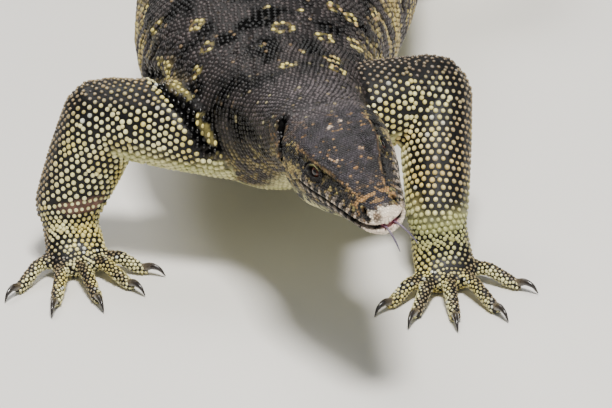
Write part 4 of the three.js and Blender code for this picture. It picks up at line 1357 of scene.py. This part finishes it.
# One piece of coat: each scale is a low dome on a foot sunk in the skin.
def coatPiece(coat):
    at, normal, forward, half, height, shape, place, owner = (np.concatenate(rows) for rows in zip(*coat["rows"]))
    dome = coat["dome"]
    side = np.cross(normal, forward)
    count, sides, levels, paintedLight = len(at), dome["sides"], dome["rings"], dome["paintedLight"]
    colour, _, size = markings(at, normal, owner)
    half = half * size
    height = height * size.mean(1)
    dark = colour.mean(1, keepdims=True) < setting["darkBelow"]
    varies = np.where(dark, setting["darkVaries"], setting["paleVaries"])
    colour = colour * np.clip(1 + rng.normal(0, 1, (count, 1)) * varies, 0.4, 2.2)
    lean = rng.normal(0, setting["lean"], (count, 1))
    turns = (np.arange(sides) + 0.5) / sides * tau
    c, s = np.cos(turns), np.sin(turns)
    corners = sides * len(levels) + 1
    points = np.empty((count, corners, 3))
    # painted light: shade at each scale's foot, a highlight on its top
    shade = np.ones((count, corners, 1))
    patch = np.zeros((corners, 2))
    for level, (wide, high) in enumerate(levels):
        own = slice(level * sides, (level + 1) * sides)
        share = wide if level < len(levels) - 1 else wide * shape[:, None]
        lift = (high * height) if high > 0 else np.full(count, high)
        for k in range(sides):
            edge = side * (c[k] * half[:, :1]) + forward * (s[k] * half[:, 1:])
            raised = (lift * (1 + (0.12 * s[k] if level else 0)))[:, None]
            points[:, level * sides + k] = at + edge * share + normal * raised + side * lean * max(high, 0) * 0.3
        shade[:, own] = paintedLight[level]
        patch[own] = np.stack([c, s], 1) * setting["patch"] * wide * (1 - 0.12 * level)
    points[:, -1] = at + normal * (height * 1.06)[:, None] + forward * 0.08 * half[:, 1:]
    shade[:, -1] = paintedLight[-1]
    points[..., 2] = np.maximum(points[..., 2], setting["lowest"])
    k = np.arange(sides)
    n = (k + 1) % sides
    quads = np.concatenate([np.stack([k, n, n + sides, k + sides], 1) + i * sides for i in range(len(levels) - 1)])
    ring = (len(levels) - 1) * sides
    tops = np.stack([k + ring, n + ring, np.full(sides, corners - 1)], 1)
    first = (np.arange(count) * corners)[:, None, None]
    faces = [(rows[None] + first).reshape(-1, rows.shape[1]) for rows in (quads, tops, k[::-1][None])]
    mesh = meshFrom(coat["name"], toFrame(points.reshape(-1, 3)), faces)
    # each scale's colour carries its painted shade at the foot and its painted highlight on top
    paint(mesh, (colour[:, None] * shade).reshape(-1, 3))
    # each scale is a small patch at its root's place on the skin's unwrap
    spots = (place[:, None] * 0.99 + 0.005 + patch[None]).reshape(-1, 2)
    uv = mesh.uv_layers.new(name="OFBake")
    corner = np.empty(len(mesh.loops), np.int32)
    mesh.loops.foreach_get("vertex_index", corner)
    uv.data.foreach_set("uv", np.clip(spots[corner], 0, 1).astype(np.float32).ravel())
    addPiece(coat["name"], mesh, beadMaterial if dome is beadDome else scaleMaterial)
    print(coat["name"], count, "scales,", count * (2 * len(quads) + sides + sides - 2), "triangles")


def besideSlit(points):
    return fromLine(points, "jawSlit")[0] < setting["slit"]


# Places on the head that stay bare.
def bareHead(points):
    p = intoHead(points)
    behind, over, _ = headPlace(p)
    bare = (np.abs(over) < halfGapAt(behind) + 0.6) & (behind < headShape["mouthCorner"] + 1)
    for side in (1, -1):
        for name, reach in bareSpots.items():
            bare |= (np.sign(p[:, 0]) == side) & (fromSpot(p, name, side)[0] < reach)
    return bare | besideSlit(points)


def settleHead(coat, points, ahead, half, kind, place):
    settle(coat, points, ahead, half, kind, place, ["head"], bareHead)


def headRows(coat):
    kind = scaleKinds["head"]
    gathered = []
    behind, row = 1.4, 0
    fine = np.linspace(-math.pi / 2, 1.5 * math.pi, 361)  # from under the throat and round by the crown
    while behind < headLength - 0.5:
        ring = fromHead(headPoint(behind, fine))
        # larger towards the nape and smaller at the tip
        size = 1 + 0.3 * float(smoothStep(behind, 70, 105)) - 0.12 * float(bell(behind, 0, 14))
        across, along = kind["across"] * size, kind["along"] * size
        points, share, step, count = rowRound(ring, fine, math.pi / 2, across, 6, row, headRowShape["uneven"])
        points += -headAxis * rng.normal(0, headRowShape["alongVaries"] * kind["along"], (count, 1))
        vary = 1 + rng.normal(0, headRowShape["sizeVaries"], (count, 1))
        half = np.array([[step * kind["fill"][0] / 2, along * kind["fill"][1] / 2 * headRowShape["overlap"]]]) * vary
        place = np.stack([0.02 + share * 0.96, np.full(count, 0.01 + 0.9 * behind / headLength)], 1)
        gathered.append((points, np.tile(-headAxis, (count, 1)), half, place))
        behind += along / headShape["size"]
        row += 1
    points, ahead, half, place = (np.vstack([g[i] for g in gathered]) for i in range(4))
    settleHead(coat, points, ahead, half, kind, place)


# Rings of small scales round the eyes, plates over them and along the lips.
plateShape = {
    "lidRings": [(1.32, 26, 0.5), (1.62, 28, 0.6)],  # distance from the eye's middle, count, half size
    "brow": (38, 74),
    "browUp": 6,
    "lipStart": 3.2,
    "lipUp": 1.75,
}


def headPlates(coat):
    for side in (1, -1):
        # places in the UV map are set apart for each side
        column = 0.1 * (side > 0)
        point, alongEye, upEye, _ = spotFrame("eye", side)
        long, tall = headSpots["eye"]["half"]
        for r, count, big in plateShape["lidRings"]:
            t = np.arange(count) / count * tau + 0.1 * r
            head = point + np.outer(np.cos(t) * r * long, alongEye) + np.outer(np.sin(t) * r * tall * 1.04, upEye)
            ahead = np.outer(-np.sin(t) * long, alongEye) + np.outer(np.cos(t) * tall, upEye)
            half = np.tile([[big, big * 1.15]], (count, 1))
            place = np.stack([0.03 + column + 0.04 * np.cos(t), 0.95 + 0.02 * np.sin(t)], 1)
            settleHead(coat, fromHead(head), unit(ahead @ headTurn.T), half, scaleKinds["lid"], place)

        def plateRow(behind, angle, half, kind, place):
            head = headPoint(behind, angle if side > 0 else math.pi - angle)
            settleHead(coat, fromHead(head), np.tile(-headAxis, (len(behind), 1)), half, kind, place)

        kind = scaleKinds["brow"]
        start, end = plateShape["brow"]
        behind = np.arange(start, end, kind["along"])
        half = np.stack([1.3 - 0.012 * np.abs(behind - 56) ** 1.3, np.full(len(behind), 0.8)], 1)
        place = np.stack([np.full(len(behind), 0.3 + column), 0.93 + 0.06 * (behind - start) / 36], 1)
        plateRow(behind, np.radians(browEdge(behind) + plateShape["browUp"]), half, kind, place)
        kind = scaleKinds["lip"]
        behind = np.arange(plateShape["lipStart"], headShape["mouthCorner"] + 2, kind["along"] / headShape["size"])
        half = np.tile([[kind["across"] * kind["fill"][0] / 2, kind["along"] * kind["fill"][1] / 2]], (len(behind), 1))
        for level in (1, -1):
            target = level * (halfGapAt(behind) + plateShape["lipUp"])
            fine = np.radians(np.linspace(1, 60, 60)) * level
            angle = np.empty(len(behind))
            for i, b in enumerate(behind):
                z = headPoint(b, fine)[:, 2] - mouthLineAt(b)
                order = np.argsort(z)
                angle[i] = np.interp(target[i], z[order], fine[order])
            place = np.stack([0.5 + column + 0.2 * (level > 0) + 0 * behind, 0.93 + 0.06 * behind / 72], 1)
            plateRow(behind, angle, half, kind, place)


headCoat = newCoat("scales_head")
headPlates(headCoat)
headRows(headCoat)
coatPiece(headCoat)

# Pieces of the spine's coat: from and to along the spine, kind of scale.
spineCuts = {
    "scales_neck": (10, 112, "neck"),
    "scales_shoulders": (112, 196, "back"),
    "scales_trunk_front": (196, 282, "back"),
    "scales_trunk_rear": (282, 376, "back"),
    "scales_hips": (376, 500, "back"),
    "scales_tail_front": (500, 760, "tail"),
    "scales_tail_rear": (760, 1400, "tail"),
}
for name, (start, end, kind) in spineCuts.items():
    chosen = (spineLength >= start) & (spineLength <= end)
    coat = newCoat(name)
    ringRows(coat, spineLine[chosen], kind, spineParts + ["head"], bareTest=besideSlit)
    if name == "scales_neck":
        fillGaps(coat, ["head", "neck"], "neck", -headAxis, bareHead)
        fillGaps(coat, ["shoulders"], "back", -headAxis)
    if name == "scales_hips":
        fillGaps(coat, ["hips", "tail_root"], "back", (0, 1, 0))
    coatPiece(coat)

for legName, leg in legShapes.items():
    sizes = legSizes[leg["kind"]]
    owned = [f"{n}_{legName}" for n in sizes["names"]]
    palmLine, digits, _ = footLines(leg)
    coat = newCoat(f"scales_{owned[2]}", beadDome)
    for i, digit in enumerate(digits):
        line = curveAt([d[0] for d in digit], np.linspace(0.25, 3, 30))
        end = line[-1] + unit(line[-1] - line[-2]) * sizes["digitRadius"] * 0.75
        ringRows(coat, np.vstack([line, end]), "digit", owned, column=(i * 0.14, 0.13))
    line = curveAt([d[0] for d in palmLine], np.linspace(0, 3, 40))
    ringRows(coat, line, "hand", owned, start=(0, -1, 0.3), column=(0.7, 0.29))
    fillGaps(coat, owned[2:], "digit", unit(line[-1] - line[0]))
    coatPiece(coat)
    coat = newCoat(f"scales_{owned[1]}", beadDome)
    root, bend, wrist = (np.array(j, float) for j in leg["joints"])
    downwards, outwards = unit(wrist - bend), unit(bend - root)
    bareTest = (lambda q: fromBareWrist(q) < 1) if legName == "right_fore" else None
    lower = np.linspace(bend - downwards * 12, wrist + downwards * 10, 34)
    ringRows(coat, lower, "limb", owned, start=(0.1 * leg["side"], -1, 0.1), column=(0.5, 0.5), bareTest=bareTest)
    upper = np.linspace(root, bend + outwards * 12, 40)
    ringRows(coat, upper, "limb", owned, start=(0, -0.5, 1), column=(0.0, 0.49), bareTest=bareTest)
    fillGaps(coat, owned, "limb", downwards, bareTest)
    coatPiece(coat)

eyeShape = {
    "pupil": 1.75,
    "iris": 4.1,
    "bulge": 0.4,
    "looksAhead": 0.12,
    "around": 72,
    "rings": 44,
    "irisDark": (0.050, 0.011, 0.006),
    "irisLight": (0.135, 0.034, 0.013),
    "pupilRim": (0.20, 0.07, 0.02),
    "outside": (0.012, 0.008, 0.007),
    "black": (0.002, 0.002, 0.002),
}
for name, side in eyeSides.items():
    _, alongEye, upEye, normal = spotFrame("eye", side)
    radius, pupil, iris = headShape["eyeRadius"], eyeShape["pupil"], eyeShape["iris"]
    gaze = unit(normal + eyeShape["looksAhead"] * alongEye)
    right = unit(np.cross(upEye, gaze))
    top = np.cross(gaze, right)
    # rings lie closer together in front
    polar = (np.arange(eyeShape["rings"]) + 0.5) / eyeShape["rings"]
    polar = math.pi * (0.42 * polar + 0.58 * polar**2.2)
    turnEye = np.arange(eyeShape["around"]) / eyeShape["around"] * tau
    off = np.sin(polar) * radius
    inFront = polar < math.pi / 2
    bulge = np.where(inFront, eyeShape["bulge"] * np.maximum(0, 1 - (off / iris) ** 2) ** 0.8, 0)
    spokes = np.cos(turnEye)[None, :, None] * right + np.sin(turnEye)[None, :, None] * top
    ball = (np.cos(polar) * radius + bulge)[:, None, None] * gaze + off[:, None, None] * spokes
    points, quads, fans = tubeMesh(fromHead(eyeCentres[name] + ball))
    mesh = meshFrom(name + "_ball", toFrame(points), [quads, fans])
    reach = np.append(np.repeat(np.where(inFront, off, far), eyeShape["around"]), [0, far])
    spin = np.append(np.tile(turnEye, eyeShape["rings"]), [0, 0])
    streak = noise(np.stack([np.cos(spin) * 9, np.sin(spin) * 9, reach * 0.35], 1), 1, 61)
    colour = mixed(eyeShape["irisDark"], eyeShape["irisLight"], smoothStep(streak, 0.3, 0.8))
    colour = mixed(colour, eyeShape["pupilRim"], bell(reach, pupil + 0.2, 0.16) * 0.4)
    colour = mixed(colour, eyeShape["outside"], smoothStep(reach, iris - 0.7, iris))
    colour = mixed(colour, eyeShape["black"], fade(reach, pupil - 0.12, pupil + 0.12))
    paint(mesh, colour)
    addPiece(name + "_ball", mesh, eyeMaterial, [name])
print("eyes made")

# Claws are horn, curved and paler at the root.
for legName, leg in legShapes.items():
    for i, stations in enumerate(footLines(leg)[2]):
        points, quads, fans = tubeMesh(sweep(stations, clawShape["rings"], clawShape["sides"]), bulge=(0.2, 0.5))
        points[:, 2] = np.maximum(points[:, 2], clawShape["lowest"])
        name = f"claw_{legName}_{i + 1}"
        mesh = meshFrom(name + "_horn", toFrame(points), [quads, fans])
        share = np.append(np.repeat(np.linspace(0, 1, clawShape["rings"]), clawShape["sides"]), [0, 1])
        streak = noise(points, 0.7, 71)
        dark = smoothStep(share + 0.25 * (streak - 0.5), 0.15, 0.6)
        paint(mesh, mixed(clawShape["rootColour"], clawShape["tipColour"], dark))
        addPiece(name + "_horn", mesh, clawMaterial, [name])
print("claws made")

tongueShape = {
    "voxel": 0.24,
    "smoothing": 4,
    "rootColour": (0.42, 0.13, 0.20),
    "forkColour": (0.115, 0.085, 0.125),
    "tipColour": (0.075, 0.062, 0.095),
    "stem": [(16, (2.6, 0.4, 0.4)), (12, (3.0, 0.5, 0.5)), (9, (3.2, 0.55, 0.55)), (7, (3.0, 0.5, 0.5))],
    # how far the fork swings to the left, sideways from there, behind the snout, drop, half sizes
    "tine": [
        (0.2, 2.0, 9, 0, (0.8, 0.5, 0.5)),
        (0.8, 2.8, 3, 0, (0.72, 0.55, 0.55)),
        (1.8, 3.4, -3, -0.1, (0.68, 0.55, 0.55)),
        (2.5, 4.1, -9, -1, (0.6, 0.52, 0.52)),
        (3.0, 4.8, -15, -2.8, (0.5, 0.46, 0.46)),
        (3.2, 5.4, -20, -5, (0.3, 0.3, 0.3)),
    ],
}


def tongueRest(behind):
    return float(mouthLineAt(behind) - halfGapAt(behind) + 1.05)


def makeTongue():
    stem = [((0, b - headLength, tongueRest(max(b, 0))), half) for b, half in tongueShape["stem"]]
    shells = [sweep(stem, 26, 24, 2.4)]
    for side in (1, -1):
        tine = []
        for swing, x, b, drop, half in tongueShape["tine"]:
            tine.append(((swing + side * x, b - headLength, tongueRest(0) + drop), half))
        shells.append(sweep(tine, 40, 18))
    points, polygons, total = [], [], 0
    for shell in shells:
        p, quads, fans = tubeMesh(fromHead(shell), bulge=(0.5, 1.0))
        points.append(p)
        polygons += (quads + total).tolist() + (fans + total).tolist()
        total += len(p)
    mesh = remeshed(toFrame(np.vstack(points)), polygons, tongueShape["voxel"])
    smooth(mesh, tongueShape["smoothing"])
    mesh.shade_smooth()
    p = intoHead(fromFrame(vectorsOf(mesh.vertices, "co")))
    ahead = -(p[:, 1] + headLength)
    darker = smoothStep(ahead + 3 * (noise(p, 2.5, 81) - 0.5), -6, 1)
    colour = mixed(tongueShape["rootColour"], tongueShape["forkColour"], darker)
    paint(mesh, mixed(colour, tongueShape["tipColour"], smoothStep(ahead, 6, 16)))
    addPiece("forked_tongue", mesh, tongueMaterial, ["tongue"])


makeTongue()
print("tongue made")

studio = {
    "floor": (0.78, 0.76, 0.72),
    "floorHalf": 9,
    "aim": (10, -40, 90),
    "key": {"at": (0.25, -0.8, 2.4), "size": 0.55, "power": 120, "colour": (1.0, 0.975, 0.93)},
    "fill": {"at": (1.6, -2.0, 1.2), "size": 2.2, "power": 12, "colour": (0.92, 0.96, 1.0)},
    "rim": {"at": (-0.5, 1.5, 2.0), "size": 1.2, "power": 30, "colour": (1.0, 0.98, 0.95)},
    "air": 0.25,
    "airColour": (0.86, 0.9, 0.95),
}
wide = studio["floorHalf"]
floorMesh = bpy.data.meshes.new("floor")
floorMesh.from_pydata([(-wide, -wide, 0), (wide, -wide, 0), (wide, wide, 0), (-wide, wide, 0)], [], [(0, 1, 2, 3)])
floor = putInScene("floor", floorMesh)
floorMaterial, _, floorShader = nodeMaterial("paleFloor")
setInputs(floorShader, Base_Color=(*studio["floor"], 1), Roughness=0.8)
floorMesh.materials.append(floorMaterial)
floor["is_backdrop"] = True

target = Vector(toFrame(studio["aim"]))
for name in ("key", "fill", "rim"):
    look = studio[name]
    lamp = bpy.data.lights.new(name, "AREA")
    lamp.shape = "SQUARE"
    lamp.size = look["size"]
    lamp.energy = look["power"]
    lamp.color = look["colour"]
    thing = putInScene(name, lamp)
    thing.location = target + Vector(look["at"])
    thing.rotation_euler = (target - thing.location).to_track_quat("-Z", "Y").to_euler()
world = bpy.data.worlds.new("softbox")
world.use_nodes = True
setInputs(world.node_tree.nodes["Background"], Color=(*studio["airColour"], 1), Strength=studio["air"])
bpy.context.scene.world = world
print("studio lit")

cameraShape = {
    "lens": 300, "sensor": 36, "distance": 2750, "elevation": 25, "roll": 5,
    "aim": (0, 0, 84), "aimPixel": (287, 120), "image": (612, 408),
}


def placeCamera():
    e, roll = math.radians(cameraShape["elevation"]), math.radians(cameraShape["roll"])
    back = Vector((0, -math.cos(e), math.sin(e)))
    x = Vector((1, 0, 0))
    y = back.cross(x)
    right = x * math.cos(roll) - y * math.sin(roll)
    up = x * math.sin(roll) + y * math.cos(roll)
    basis = Matrix((right, up, back)).transposed()
    # the aim stands at its own pixel of the image
    wide, tall = cameraShape["image"]
    focal = cameraShape["lens"] / cameraShape["sensor"] * wide
    px, py = cameraShape["aimPixel"]
    ray = Vector(((px - wide / 2) / focal, -(py - tall / 2) / focal, -1)).normalized()
    turn = (basis @ ray).rotation_difference(-back).to_matrix()
    lens = bpy.data.cameras.new("camera")
    lens.lens = cameraShape["lens"]
    lens.sensor_width = cameraShape["sensor"]
    lens.clip_start, lens.clip_end = 0.05, 40
    camera = putInScene("camera", lens)
    place = np.array(cameraShape["aim"]) + cameraShape["distance"] * np.array(back)
    camera.matrix_world = Matrix.Translation(Vector(toFrame(place))) @ (turn @ basis).to_4x4()
    bpy.context.scene.camera = camera


placeCamera()

low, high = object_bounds()
sizes = {"cad": [list(cadBox[0]), list(cadBox[1])], "visual": [list(low), list(high)]}
print("sizes", sizes)
